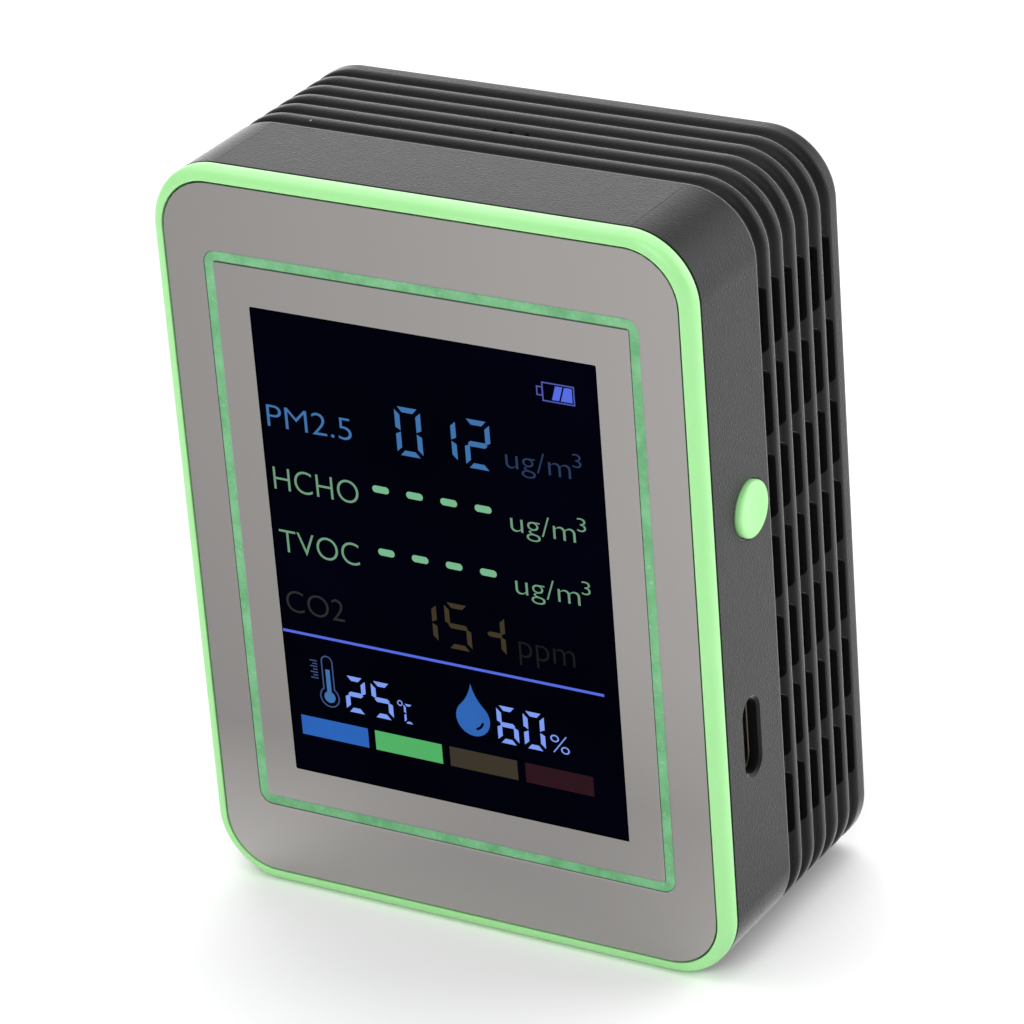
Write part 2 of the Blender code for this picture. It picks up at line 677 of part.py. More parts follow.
def main_board():
    """The board, with a notch at each corner for the frame's posts and a hole at each boss."""
    side, (across, up) = BOARD_WIDTH / 2, BOARD_NOTCH
    low, high = BOARD_BOTTOM, BOARD_TOP
    outline = [
        (side, low + up), (side, high - up), (side - across, high - up), (side - across, high),
        (across - side, high), (across - side, high - up), (-side, high - up), (-side, low + up),
        (across - side, low + up), (across - side, low), (side - across, low), (side - across, low + up)]
    holes = [circle(BOARD_SCREW_RADIUS + GAP, place, 12) for place in corners(BOSS_X, BOSS_LOW, BOSS_HIGH)]
    piece("main_board", "green_board", plate(outline, BOARD_FRONT, BOARD_BACK, holes))

    # Width, thickness and height of each, and the x and z of its middle, in millimetres
    chips = {
        "processor_chip": (10.0, 1.4, 10.0, -5.0, 30.0),
        "charger_chip": (5.0, 1.2, 4.0, 16.0, 24.0),
        "battery_connector": (4.6, 4.6, 6.4, -23.6, 26.8),
        "sensor_connector": (5.0, 4.2, 11.0, -14.0, 50.0),
        "humidity_sensor": (2.6, 1.0, 2.6, -26.2, 64.0),
    }
    materials = {"battery_connector": "cream_plastic", "sensor_connector": "cream_plastic"}
    for name, (width, tall, height, x, z) in chips.items():
        half, up = width * MM / 2, height * MM / 2
        shape = box((-half, 0, -up), (half, tall * MM, up))
        piece(name, materials.get(name, "black_plastic"), shape, (x * MM, PARTS_ON_BOARD, z * MM))

    can = rounded(CO2_WIDTH, CO2_WIDTH, 0.08 * CO2_WIDTH, steps=2)
    lid = rounded(0.92 * CO2_WIDTH, 0.92 * CO2_WIDTH, 0.06 * CO2_WIDTH, steps=2)
    piece("co2_sensor", "steel", layered([(can, 0), (can, CO2_SHOULDER), (lid, CO2_HEIGHT)]),
          (CO2_PLACE[0], PARTS_ON_BOARD, CO2_PLACE[1]))
    base = turned([(GAS_BASE_RADIUS, 0), (GAS_BASE_RADIUS, GAS_BASE_HEIGHT)], 20)
    cap = turned([(GAS_CAP_RADIUS, GAS_BASE_HEIGHT + TOUCH), (GAS_CAP_RADIUS, GAS_HEIGHT - GAS_EDGE),
                  (GAS_CAP_RADIUS - GAS_EDGE, GAS_HEIGHT)], 20)
    gas_place = (GAS_PLACE[0], PARTS_ON_BOARD, GAS_PLACE[1])
    piece("gas_sensor_base", "black_plastic", base, gas_place, smooth=True)
    piece("gas_sensor_cap", "steel", cap, gas_place, smooth=True)


def screw(radius, length, head):
    """A pan-head screw that points along -Y, with its head's underside at the origin."""
    head_radius, head_height = head
    return turned([
        (0.35 * radius, -length), (radius, radius - length), (radius, 0), (head_radius, 0),
        (head_radius, 0.55 * head_height), (0.6 * head_radius, head_height)], 12)


def screws():
    """Four screws hold the tub to the front frame, and four hold the board to it."""
    sets = (
        ("case_screw", CASE_SCREW_RADIUS, CASE_SCREW_LENGTH, CASE_SCREW_HEAD,
         HEAD_SEAT + TOUCH, corners(POST_X, POST_LOW, POST_HIGH)),
        ("board_screw", BOARD_SCREW_RADIUS, BOARD_SCREW_LENGTH, BOARD_SCREW_HEAD,
         BOARD_BACK + TOUCH, corners(BOSS_X, BOSS_LOW, BOSS_HIGH)),
    )
    for name, radius, length, head, seat, places in sets:
        mesh = mesh_of(name, [screw(radius, length, head)])
        for number, (x, z) in enumerate(places, 1):
            piece(f"{name}_{number}", "steel", mesh, (x, seat, z), smooth=True)


def power_button():
    """The button, held in the tub's side by its flange, and the sprung switch behind it, both along X."""
    axis = (0, BUTTON_Y, BUTTON_Z)
    face = WIDTH / 2 + BUTTON_PROUD
    inside = INNER_SIDE - GAP
    flange_back = inside - BUTTON_FLANGE
    dish_rim, crest = BUTTON_RING
    cap = turned([
        (BUTTON_DISH_RADIUS, face - BUTTON_DISH), (dish_rim, face - 0.75 * BUTTON_DISH), (crest, face),
        (BUTTON_RADIUS - 0.3 * BUTTON_EDGE, face - 0.25 * BUTTON_EDGE), (BUTTON_RADIUS, face - BUTTON_EDGE),
        (BUTTON_RADIUS, inside), (BUTTON_FLANGE_RADIUS, inside), (BUTTON_FLANGE_RADIUS, flange_back),
        (PLUNGER_RADIUS, flange_back), (PLUNGER_RADIUS, BUTTON_STEM_END)], FINE_STEPS)
    piece("power_button", "green_frame", moved(cap, ALONG_X), axis, smooth=True)

    plunger = rod(PLUNGER_RADIUS, PLUNGER_END, PLUNGER_TIP)
    piece("switch_plunger", "black_plastic", moved(plunger, ALONG_X), axis, smooth=True)
    half = SWITCH_WIDTH / 2
    low = (SWITCH_FACE - SWITCH_LENGTH, PARTS_ON_BOARD - BUTTON_Y, -half)
    body = piece("switch_body", "black_plastic", box(low, (SWITCH_FACE, half, half)), axis)
    well = rod(PLUNGER_RADIUS + TOUCH, PLUNGER_END - PLUNGER_ROOM, SWITCH_FACE + GAP)
    combine(body, "DIFFERENCE", [moved(well, ALONG_X)])


def charging_socket():
    """The socket's steel shell, open towards +X, and the contact tongue inside it."""
    place = (0, SOCKET_Y, SOCKET_Z)
    tall, wide = SOCKET_OUTER
    bore_tall, bore_wide = tall - 2 * SOCKET_WALL, wide - 2 * SOCKET_WALL
    outer = rounded(tall, wide, tall / 2 - PINCH, steps=5)
    inner = rounded(bore_tall, bore_wide, bore_tall / 2 - PINCH, steps=5)
    rear = SOCKET_MOUTH - SOCKET_LENGTH
    bottom = rear + SOCKET_BACK_WALL
    shell = layered([(outer, rear), (outer, SOCKET_MOUTH), (inner, SOCKET_MOUTH), (inner, bottom)])
    piece("socket_shell", "steel", moved(shell, ALONG_X), place)
    tongue = rounded(*TONGUE_SIZE, 0.3 * TONGUE_SIZE[0], steps=2)
    bar = layered([(tongue, bottom + TOUCH), (tongue, SOCKET_MOUTH - TONGUE_RECESS)])
    piece("socket_tongue", "black_plastic", moved(bar, ALONG_X), place)


# The dust sensor


def rectangle(low, high):
    """The points of a rectangle in a plane."""
    return [(low[0], low[1]), (high[0], low[1]), (high[0], high[1]), (low[0], high[1])]


def dust_sensor():
    """The sensor's two-part case with its air ports, its board, its laser and its light detector."""
    low, high = (SENSOR_LEFT, SENSOR_BOTTOM), (SENSOR_RIGHT, SENSOR_TOP)
    wide, tall = high[0] - low[0], high[1] - low[1]
    middle = ((low[0] + high[0]) / 2, (low[1] + high[1]) / 2)
    outer = rounded(wide, tall, 1.25 * SENSOR_WALL, middle, 3)
    inner = rounded(wide - 2 * SENSOR_WALL, tall - 2 * SENSOR_WALL, SENSOR_WALL / 2, middle, 3)
    mouth = SENSOR_FRONT + COVER_THICKNESS + TOUCH
    case = piece("sensor_case", "blue_case", layered([
        (outer, SENSOR_BACK), (outer, mouth), (inner, mouth), (inner, SENSOR_INSIDE_BACK)]))
    divider_back = SENSOR_INSIDE_BACK + SENSOR_WALL / 2
    divider = box((low[0] + SENSOR_WALL / 2, mouth + GAP, SENSOR_DIVIDER_Z),
                  (FAN_X - SENSOR_WALL, divider_back, SENSOR_DIVIDER_Z + DIVIDER_THICKNESS))
    combine(case, "UNION", [divider])
    ports = [box((SENSOR_RIGHT - 2 * SENSOR_WALL, PORT_Y[0], z[0]), (SENSOR_RIGHT + GAP, PORT_Y[1], z[1]))
             for z in (INLET_Z, OUTLET_Z)]
    combine(case, "DIFFERENCE", ports)
    piece("sensor_cover", "blue_case", plate(outer, SENSOR_FRONT, SENSOR_FRONT + COVER_THICKNESS))

    clear = SENSOR_WALL + GAP
    board = rectangle((SENSOR_LEFT + clear, SENSOR_DIVIDER_Z + DIVIDER_THICKNESS + GAP),
                      (SENSOR_RIGHT - 3 * clear, SENSOR_TOP - clear))
    board_back = SENSOR_INSIDE_BACK - TOUCH
    board_front = board_back - SENSOR_BOARD_THICKNESS
    piece("sensor_board", "green_board", plate(board, board_front, board_back))
    nose_radius, nose_end = LASER_NOSE
    laser = turned([(LASER_RADIUS, 0), (LASER_RADIUS, LASER_LENGTH),
                    (nose_radius, LASER_LENGTH + GAP), (nose_radius, nose_end)], 14)
    laser_place = (LASER_X, board_front - LASER_RADIUS - GAP, LASER_Z)
    piece("laser_module", "brass", moved(laser, ALONG_X), laser_place, smooth=True)
    across, thick, up = DETECTOR_SIZE
    piece("light_detector", "black_plastic", box((-across / 2, -thick, -up / 2), (across / 2, 0, up / 2)),
          (DETECTOR_X, board_front - TOUCH, LASER_Z))

    around = [rectangle((PORT_Y[0], z[0]), (PORT_Y[1], z[1])) for z in (INLET_Z, OUTLET_Z)]
    edge = rectangle((PORT_Y[0] - SEAL_MARGIN, OUTLET_Z[0] - SEAL_MARGIN),
                     (PORT_Y[1] + SEAL_MARGIN, INLET_Z[1] + SEAL_MARGIN))
    seal = plate([(-y, z) for y, z in edge], SENSOR_RIGHT + TOUCH, INNER_SIDE - TOUCH,
                 [[(-y, z) for y, z in ring] for ring in around])
    piece("port_seal", "foam", moved(seal, ALONG_X))
    pad = rounded(wide - 2 * PAD_MARGIN, tall - 2 * PAD_MARGIN, PAD_MARGIN / 4, middle, 2)
    piece("sensor_pad", "foam", plate(pad, SENSOR_BACK + TOUCH, INNER_BACK - TOUCH))


def fan():
    """The sensor's fan: a cup with blades on a shaft, turning about Y round a fixed motor and its bearing."""
    place = (FAN_X, 0, FAN_Z)
    bore = SHAFT_RADIUS + SHAFT_CLEARANCE
    cup_wall = HUB_RADIUS - HUB_WALL
    cup_floor = FAN_FRONT + HUB_FLOOR
    cup = turned([
        (bore, FAN_FRONT), (HUB_RADIUS, FAN_FRONT), (HUB_RADIUS, FAN_BACK), (cup_wall, FAN_BACK),
        (cup_wall, cup_floor), (bore, cup_floor)], 24, closed=True)
    rotor = piece("fan_rotor", "black_plastic", cup, place, smooth=True)
    blade = box((HUB_RADIUS - HUB_WALL / 2, FAN_FRONT + GAP, -BLADE_THICKNESS / 2),
                (FAN_RADIUS, FAN_BACK - GAP, BLADE_THICKNESS / 2))
    turns = [Matrix.Rotation(2 * math.pi * n / FAN_BLADES, 4, "Y") for n in range(FAN_BLADES)]
    combine(rotor, "UNION", [moved(blade, turn) for turn in turns])

    motor_front = cup_floor + MOTOR_GAP
    motor_back = SENSOR_INSIDE_BACK - TOUCH
    shaft_back = motor_back - HUB_FLOOR
    piece("fan_shaft", "steel", rod(SHAFT_RADIUS, FAN_FRONT + TOUCH, shaft_back), place, smooth=True)
    sleeve = [(bore, motor_front), (BEARING_RADIUS, motor_front),
              (BEARING_RADIUS, shaft_back), (bore, shaft_back)]
    piece("fan_bearing", "brass", turned(sleeve, closed=True), place, smooth=True)
    socket = BEARING_RADIUS + TOUCH
    step = FAN_BACK + MOTOR_GAP
    motor = turned([
        (socket, motor_front), (MOTOR_RADIUS, motor_front), (MOTOR_RADIUS, step), (MOTOR_BASE_RADIUS, step),
        (MOTOR_BASE_RADIUS, motor_back), (socket, motor_back)], 20, closed=True)
    piece("fan_motor", "brass", motor, place, smooth=True)


# Battery, buzzer and leads


def battery():
    """The flat pouch cell and the foam tape that holds it to the tub's back wall."""
    wide, deep, tall = BATTERY_SIZE
    stations = []
    for side in (-1, 1):
        for step in (0, 1, 2) if side < 0 else (2, 1, 0):
            angle = step / 2 * math.pi / 2
            inset = BATTERY_EDGE * (1 - math.sin(angle))
            outline = rounded(wide - 2 * inset, tall - 2 * inset, BATTERY_RADIUS - inset, steps=3)
            stations.append((outline, side * (deep / 2 - BATTERY_EDGE * (1 - math.cos(angle)))))
    piece("battery_cell", "silver_pouch", layered(stations), BATTERY_MIDDLE)
    pad = rounded(wide - 2 * PAD_MARGIN, tall - 2 * PAD_MARGIN, PAD_MARGIN / 4, steps=2)
    tape_front = BATTERY_MIDDLE[1] + deep / 2 + TOUCH
    piece("battery_tape", "foam", plate(pad, 0, INNER_BACK - TOUCH - tape_front),
          (BATTERY_MIDDLE[0], tape_front, BATTERY_MIDDLE[2]))


def buzzer():
    """The round alarm buzzer, in the cup under the tub's three sound holes."""
    body = turned([
        (BUZZER_RADIUS - GAP, BUZZER_BOTTOM), (BUZZER_RADIUS, BUZZER_BOTTOM + GAP),
        (BUZZER_RADIUS, BUZZER_TOP - GAP), (BUZZER_RADIUS - GAP, BUZZER_TOP)], 20)
    piece("buzzer", "black_plastic", moved(body, ALONG_Z), (0, BUZZER_Y, 0), smooth=True)


def smooth_route(points, per_span=5):
    """Points along a smooth curve through these ones."""
    ends = [Vector(points[0])] + [Vector(point) for point in points] + [Vector(points[-1])]
    route = []
    for a, b, c, d in zip(ends, ends[1:], ends[2:], ends[3:]):
        for step in range(per_span):
            t = step / per_span
            route.append(0.5 * (2 * b + (c - a) * t + (2 * a - 5 * b + 4 * c - d) * t**2
                                + (3 * b - a - 3 * c + d) * t**3))
    return route + [ends[-1]]


def lead(name, material, radius, points):
    """An insulated wire, as a tube along a smooth route through points in millimetres."""
    curve = bpy.data.curves.new(name, "CURVE")
    curve.dimensions = "3D"
    curve.bevel_depth = radius
    curve.bevel_resolution = 2
    curve.use_fill_caps = True
    route = smooth_route([Vector(point) * MM for point in points])
    spline = curve.splines.new("POLY")
    spline.points.add(len(route) - 1)
    for point, place in zip(spline.points, route):
        point.co = (*place, 1)
    curve.materials.append(finish(material))
    wire = bpy.data.objects.new(name, curve)
    bpy.context.scene.collection.objects.link(wire)
    wire.parent = bpy.data.objects["monitor"]


def leads():
    """The battery's two leads, the buzzer's two leads and the flat cable of the dust sensor."""
    for colour, z in (("red", 28.0), ("black", 25.6)):
        lead(f"battery_lead_{colour}", f"{colour}_lead", LEAD_RADIUS, [
            (-25.4, 10.9, z), (-27.6, 10.4, z), (-28.9, 7.0, z), (-29.0, 0.0, z),
            (-28.8, -5.0, z), (-27.8, -7.3, z), (-26.2, -7.9, z)])
    for colour, x in (("red", -1.3), ("black", 1.3)):
        lead(f"buzzer_lead_{colour}", f"{colour}_lead", THIN_LEAD_RADIUS, [
            (x, 4.8, 80.1), (x, 3.4, 79.9), (x, -1.0, 79.9),
            (x, -6.0, 79.6), (x, -9.2, 78.4), (x, -10.2, 77.0)])
    leaving = (SENSOR_FRONT + SENSOR_BACK) / 2
    path = rounded_path([
        (SENSOR_LEFT - GAP, leaving), (CABLE_X, leaving), (CABLE_X, CABLE_END)], CABLE_BEND, 6)
    cable = ribbon(path, CABLE_THICKNESS, -CABLE_WIDTH / 2, CABLE_WIDTH / 2)
    piece("sensor_cable", "black_lead", moved(cable, ALONG_Z.inverted()), (0, 0, CABLE_Z))


def clear_scene():
    """Removes whatever the scene holds."""
    for thing in list(bpy.data.objects):
        bpy.data.objects.remove(thing)


def main():
    clear_scene()
    monitor = bpy.data.objects.new("monitor", None)
    bpy.context.scene.collection.objects.link(monitor)
    housing()
    front_frame()
    front_panel()
    accent_line()
    display()
    main_board()
    screws()
    power_button()
    charging_socket()
    dust_sensor()
    fan()
    battery()
    buzzer()
    leads()


main()
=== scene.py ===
import json
import math

import bmesh
import bpy
from mathutils import Matrix, Vector
from mathutils.geometry import tessellate_polygon


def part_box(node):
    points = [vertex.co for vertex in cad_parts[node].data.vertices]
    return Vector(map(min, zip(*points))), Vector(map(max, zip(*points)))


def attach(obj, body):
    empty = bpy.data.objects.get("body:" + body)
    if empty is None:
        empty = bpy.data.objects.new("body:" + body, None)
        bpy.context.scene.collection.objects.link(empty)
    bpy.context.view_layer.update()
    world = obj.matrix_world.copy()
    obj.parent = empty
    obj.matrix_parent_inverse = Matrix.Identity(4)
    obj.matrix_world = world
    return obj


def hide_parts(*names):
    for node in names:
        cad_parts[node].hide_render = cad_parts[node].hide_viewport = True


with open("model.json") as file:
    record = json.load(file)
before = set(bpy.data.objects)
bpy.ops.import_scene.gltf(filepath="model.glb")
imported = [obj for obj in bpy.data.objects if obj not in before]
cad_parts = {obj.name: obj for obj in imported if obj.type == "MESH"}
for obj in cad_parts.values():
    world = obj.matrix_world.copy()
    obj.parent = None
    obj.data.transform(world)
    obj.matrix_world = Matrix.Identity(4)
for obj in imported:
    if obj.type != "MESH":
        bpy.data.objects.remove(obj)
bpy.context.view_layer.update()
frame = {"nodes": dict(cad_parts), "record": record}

MM = 0.001

# What the frame gives: the tub, the front frame and the pieces set into them
TUB_LOW, TUB_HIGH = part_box("housing")
FRAME_LOW, FRAME_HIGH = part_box("front_frame")
PANEL_LOW, PANEL_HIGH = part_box("front_panel")
LINE_LOW, LINE_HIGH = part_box("accent_line")
GLASS_LOW, GLASS_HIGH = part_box("display_glass")
BUTTON_LOW, BUTTON_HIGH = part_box("power_button")
SOCKET_LOW, SOCKET_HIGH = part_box("socket_shell")
TONGUE_LOW, TONGUE_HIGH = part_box("socket_tongue")

WIDTH = TUB_HIGH.x - TUB_LOW.x
HEIGHT = TUB_HIGH.z
MIDDLE = HEIGHT / 2
FRONT = FRAME_LOW.y
BACK = TUB_HIGH.y
CORNER_RADIUS = 7.8 * MM
GAP = 0.3 * MM
SEAM = 0.15 * MM
TOUCH = 0.1 * MM
HAIR = 0.01 * MM  # keeps faces and points that nearly meet apart

# Tub
TUB_FRONT = TUB_LOW.y + 0.05 * MM
WALL = 1.6 * MM
BACK_WALL = 1.8 * MM
INNER_SIDE = WIDTH / 2 - WALL
INNER_TOP = HEIGHT - WALL
INNER_BACK = BACK - BACK_WALL
BACK_EDGE_RADIUS = 1.1 * MM
GROOVES = 6
GROOVE_PITCH = 2.92 * MM
FIRST_GROOVE = -0.9 * MM
GROOVE_DEPTH = 0.77 * MM
GROOVE_LAND = 0.25 * MM
CREST_SHARE = 0.6
FRONT_LIP = 0.12 * MM
SLOT_ROWS = 7
SLOT_PITCH = 9.67 * MM
SLOT_LENGTH = 7.86 * MM
SLOT_WIDTH = 1.74 * MM
SOUND_HOLES = 3
SOUND_HOLE_RADIUS = 0.56 * MM
SOUND_HOLE_PITCH = 2.0 * MM
SOUND_HOLE_RELIEF = 0.9 * MM
SOUND_HOLE_SKIN = 0.25 * MM
BUZZER_Y = FIRST_GROOVE + 2 * GROOVE_PITCH
PARTING_X = 25.6 * MM
PARTING_SIZE = 0.025 * MM
PARTING_END = -2.2 * MM
BUTTON_HOLE_RADIUS = 3.42 * MM
SOCKET_CHAMFER = 0.3 * MM

# Screws, and the columns and posts that they join
POST_X = 26.8 * MM
POST_LOW = 6.6 * MM
POST_HIGH = HEIGHT - POST_LOW
POST_END = FRAME_HIGH.y
COLUMN_RADIUS = 3.3 * MM
HEAD_SEAT = 2.0 * MM
SHANK_ROOM = 1.25 * MM
HEAD_ROOM = 2.4 * MM
POST_RADIUS = 2.6 * MM
POST_PILOT = 1.2 * MM
POST_ROOT = 1.0 * MM
CASE_SHANK = 1.1 * MM
BOSS_X = 26.6 * MM
BOSS_LOW = 16.0 * MM
BOSS_HIGH = 72.0 * MM
BOSS_RADIUS = 2.0 * MM
BOSS_PILOT = 0.85 * MM
BOSS_SKIN = 0.6 * MM
BOARD_SHANK = 0.75 * MM
SCREW_TURN = 37

# Front frame
RIM_BACK = -14.35 * MM
RIM_LIP = 1.5 * MM
RIM_EDGE = 1.38 * MM
RIM_INNER_EDGE = 0.1 * MM
POCKET_FLOOR = PANEL_HIGH.y + TOUCH
FLOOR_BACK = POCKET_FLOOR + 1.95 * MM
SKIRT = 1.2 * MM
SKIRT_END = FLOOR_BACK + 1.35 * MM
WINDOW_SIZE = (46.4 * MM, 60.6 * MM)
WINDOW_CORNER = 1.0 * MM

# Panel, line and display glass
PANEL_EDGE = 0.12 * MM
PANEL_STEPS = 8
LINE_BREADTH = 1.15 * MM
LINE_CHANNEL = 0.6 * MM
LINE_CORNER = 1.5 * MM
LINE_INNER_CORNER = 0.3 * MM
LINE_EDGE = 0.03 * MM
GLASS_MIDDLE = (0, (GLASS_LOW.z + GLASS_HIGH.z) / 2)
GLASS_CORNER = 0.2 * MM
GLASS_EDGE = 0.06 * MM

# Button
BUTTON_RADIUS = 3.2 * MM
BUTTON_DISH = 0.16 * MM
BUTTON_CREST = 2.6 * MM  # the radius at which the face stands highest
BUTTON_FLAT = 0.35  # the share of the crest's radius over which the dish is flat
BUTTON_RIM = 0.42 * MM
BUTTON_FALL = 0.85 * BUTTON_RIM
FLANGE = 0.65 * MM
STEM_RADIUS = 1.6 * MM

CORNER_STEPS = 20
ROUND_STEPS = 40
SHARP_ANGLE = math.radians(30)


# Shapes: each function returns (points, faces) of one closed body


def rounded(width, height, radius, middle=(0.0, 0.0), steps=CORNER_STEPS):
    """The points of a rounded rectangle in a plane, anticlockwise from its right side."""
    points = []
    for quarter in range(4):
        right = 1 if quarter in (0, 3) else -1
        upper = 1 if quarter in (0, 1) else -1
        corner_x = middle[0] + right * (width / 2 - radius)
        corner_z = middle[1] + upper * (height / 2 - radius)
        for step in range(steps + 1):
            angle = (quarter + step / steps) * math.pi / 2
            points.append((corner_x + radius * math.cos(angle), corner_z + radius * math.sin(angle)))
    return points


def circle(radius, middle=(0.0, 0.0), steps=ROUND_STEPS):
    """The points of a circle in a plane."""
    turns = [2 * math.pi * step / steps for step in range(steps)]
    return [(middle[0] + radius * math.cos(a), middle[1] + radius * math.sin(a)) for a in turns]


def inset_outline(inset, steps=CORNER_STEPS):
    """The monitor's front outline, moved inwards all round."""
    return rounded(WIDTH - 2 * inset, HEIGHT - 2 * inset, CORNER_RADIUS - inset, (0, MIDDLE), steps)


def skin(loops, closed):
    """Joins loops of (x, y, z) points, each with as many points: into a ring, or capped at both ends."""
    count = len(loops[0])
    points = [point for loop in loops for point in loop]
    faces = []
    last = len(loops) if closed else len(loops) - 1
    for row in range(last):
        here = row * count
        there = (row + 1) % len(loops) * count
        for i in range(count):
            j = (i + 1) % count
            faces.append((here + i, here + j, there + j, there + i))
    if not closed:
        faces.append(tuple(range(count)))
        faces.append(tuple(range(len(points) - count, len(points))))
    return points, faces


def layered(stations, closed=False):
    """A body made of outlines in XZ planes: stations are (outline, y)."""
    return skin([[(x, y, z) for x, z in outline] for outline, y in stations], closed)


def plate(outline, front, back, holes=()):
    """A flat plate in the XZ plane from y = front to y = back, with holes right through."""
    rings = [outline, *holes]
    flat = [(x, z) for ring in rings for x, z in ring]
    count = len(flat)
    points = [(x, front, z) for x, z in flat] + [(x, back, z) for x, z in flat]
    cap = tessellate_polygon([[Vector((x, z, 0)) for x, z in ring] for ring in rings])
    faces = [tuple(corner) for corner in cap]
    faces += [tuple(corner + count for corner in triangle) for triangle in cap]
    start = 0
    for ring in rings:
        for i in range(len(ring)):
            here = start + i
            there = start + (i + 1) % len(ring)
            faces.append((here, there, there + count, here + count))
        start += len(ring)
    return points, faces


def box(low, high):
    """A box between two corners."""
    outline = [(low[0], low[2]), (high[0], low[2]), (high[0], high[2]), (low[0], high[2])]
    return layered([(outline, low[1]), (outline, high[1])])


def turned(profile, steps=ROUND_STEPS):
    """A body turned about Y from (radius, y) points."""
    return layered([(circle(radius, steps=steps), y) for radius, y in profile])


def rod(radius, start, end, middle=(0.0, 0.0), steps=ROUND_STEPS):
    """A plain cylinder along Y, at (x, z)."""
    return layered([(circle(radius, middle, steps), start), (circle(radius, middle, steps), end)])


def moved(shape, matrix):
    """The shape, placed by a matrix."""
    points, faces = shape
    return [tuple(matrix @ Vector(point)) for point in points], faces


def at(x, y, z):
    """The matrix that moves a shape there."""
    return Matrix.Translation((x, y, z))


ALONG_X = Matrix.Rotation(-math.pi / 2, 4, "Z")  # turns what runs along +Y to run along +X
ALONG_Z = Matrix.Rotation(math.pi / 2, 4, "X")  # turns what runs along +Y to run along +Z


def filleted(corners, closed=False, steps=4):
    """A path through (u, v, radius) corners, each turned by an arc of its radius."""
    path = []
    count = len(corners)
    for i, (u, v, radius) in enumerate(corners):
        if radius == 0 or (not closed and i in (0, count - 1)):
            path.append((u, v))
            continue
        corner = Vector((u, v))
        arriving = (corner - Vector(corners[i - 1][:2])).normalized()
        leaving = (Vector(corners[(i + 1) % count][:2]) - corner).normalized()
        half_turn = arriving.angle(leaving) / 2
        centre = corner + (leaving - arriving).normalized() * radius / math.cos(half_turn)
        start = corner - arriving * radius * math.tan(half_turn) - centre
        turn = math.copysign(2 * half_turn, arriving.x * leaving.y - arriving.y * leaving.x)
        for step in range(steps + 1):
            angle = turn * step / steps
            cos, sin = math.cos(angle), math.sin(angle)
            path.append((centre.x + start.x * cos - start.y * sin, centre.y + start.x * sin + start.y * cos))
    return path


POSTS, BOSSES = ([(side * x, z) for z in (low, high) for side in (-1, 1)] for x, low, high in (
    (POST_X, POST_LOW, POST_HIGH), (BOSS_X, BOSS_LOW, BOSS_HIGH)))


# Objects


def mesh_of(name, shapes):
    """One mesh of one or more closed bodies, with their faces pointing out."""
    points, faces = [], []
    for shape_points, shape_faces in shapes:
        start = len(points)
        points += shape_points
        faces += [tuple(start + corner for corner in face) for face in shape_faces]
    mesh = bpy.data.meshes.new(name)
    mesh.from_pydata(points, [], faces)
    work = bmesh.new()
    work.from_mesh(mesh)
    bmesh.ops.recalc_face_normals(work, faces=work.faces)
    work.to_mesh(mesh)
    work.free()
    return mesh


def in_scene(name, data):
    """A new object in the scene."""
    made = bpy.data.objects.new(name, data)
    bpy.context.scene.collection.objects.link(made)
    return made


def combined(mesh, operation, shapes):
    """The mesh after a Boolean with these shapes."""
    subject = in_scene("subject", mesh)
    tool = in_scene("tool", mesh_of("tool", shapes))
    boolean = subject.modifiers.new("Boolean", "BOOLEAN")
    boolean.operation = operation
    boolean.object = tool
    graph = bpy.context.evaluated_depsgraph_get()
    made = bpy.data.meshes.new_from_object(subject.evaluated_get(graph))
    bpy.data.objects.remove(subject)
    bpy.data.objects.remove(tool)
    return made


def show(name, mesh, slot, material=None, body="case", replaces=(), weighted=True):
    """One piece: a mesh in the row's frame that rides on a body and takes the place of CAD nodes."""
    if not isinstance(mesh, bpy.types.Mesh):
        mesh = mesh_of(name, mesh if isinstance(mesh, list) else [mesh])
    mesh.name = name
    mesh.materials.clear()
    mesh.materials.append(material or MATERIALS[slot])
    mesh.shade_smooth()
    mesh.set_sharp_from_angle(angle=SHARP_ANGLE)
    made = in_scene(name, mesh)
    if weighted:
        normals = made.modifiers.new("Weighted normals", "WEIGHTED_NORMAL")
        normals.keep_sharp = True
    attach(made, body)
    if replaces:
        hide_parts(*replaces)


# Materials


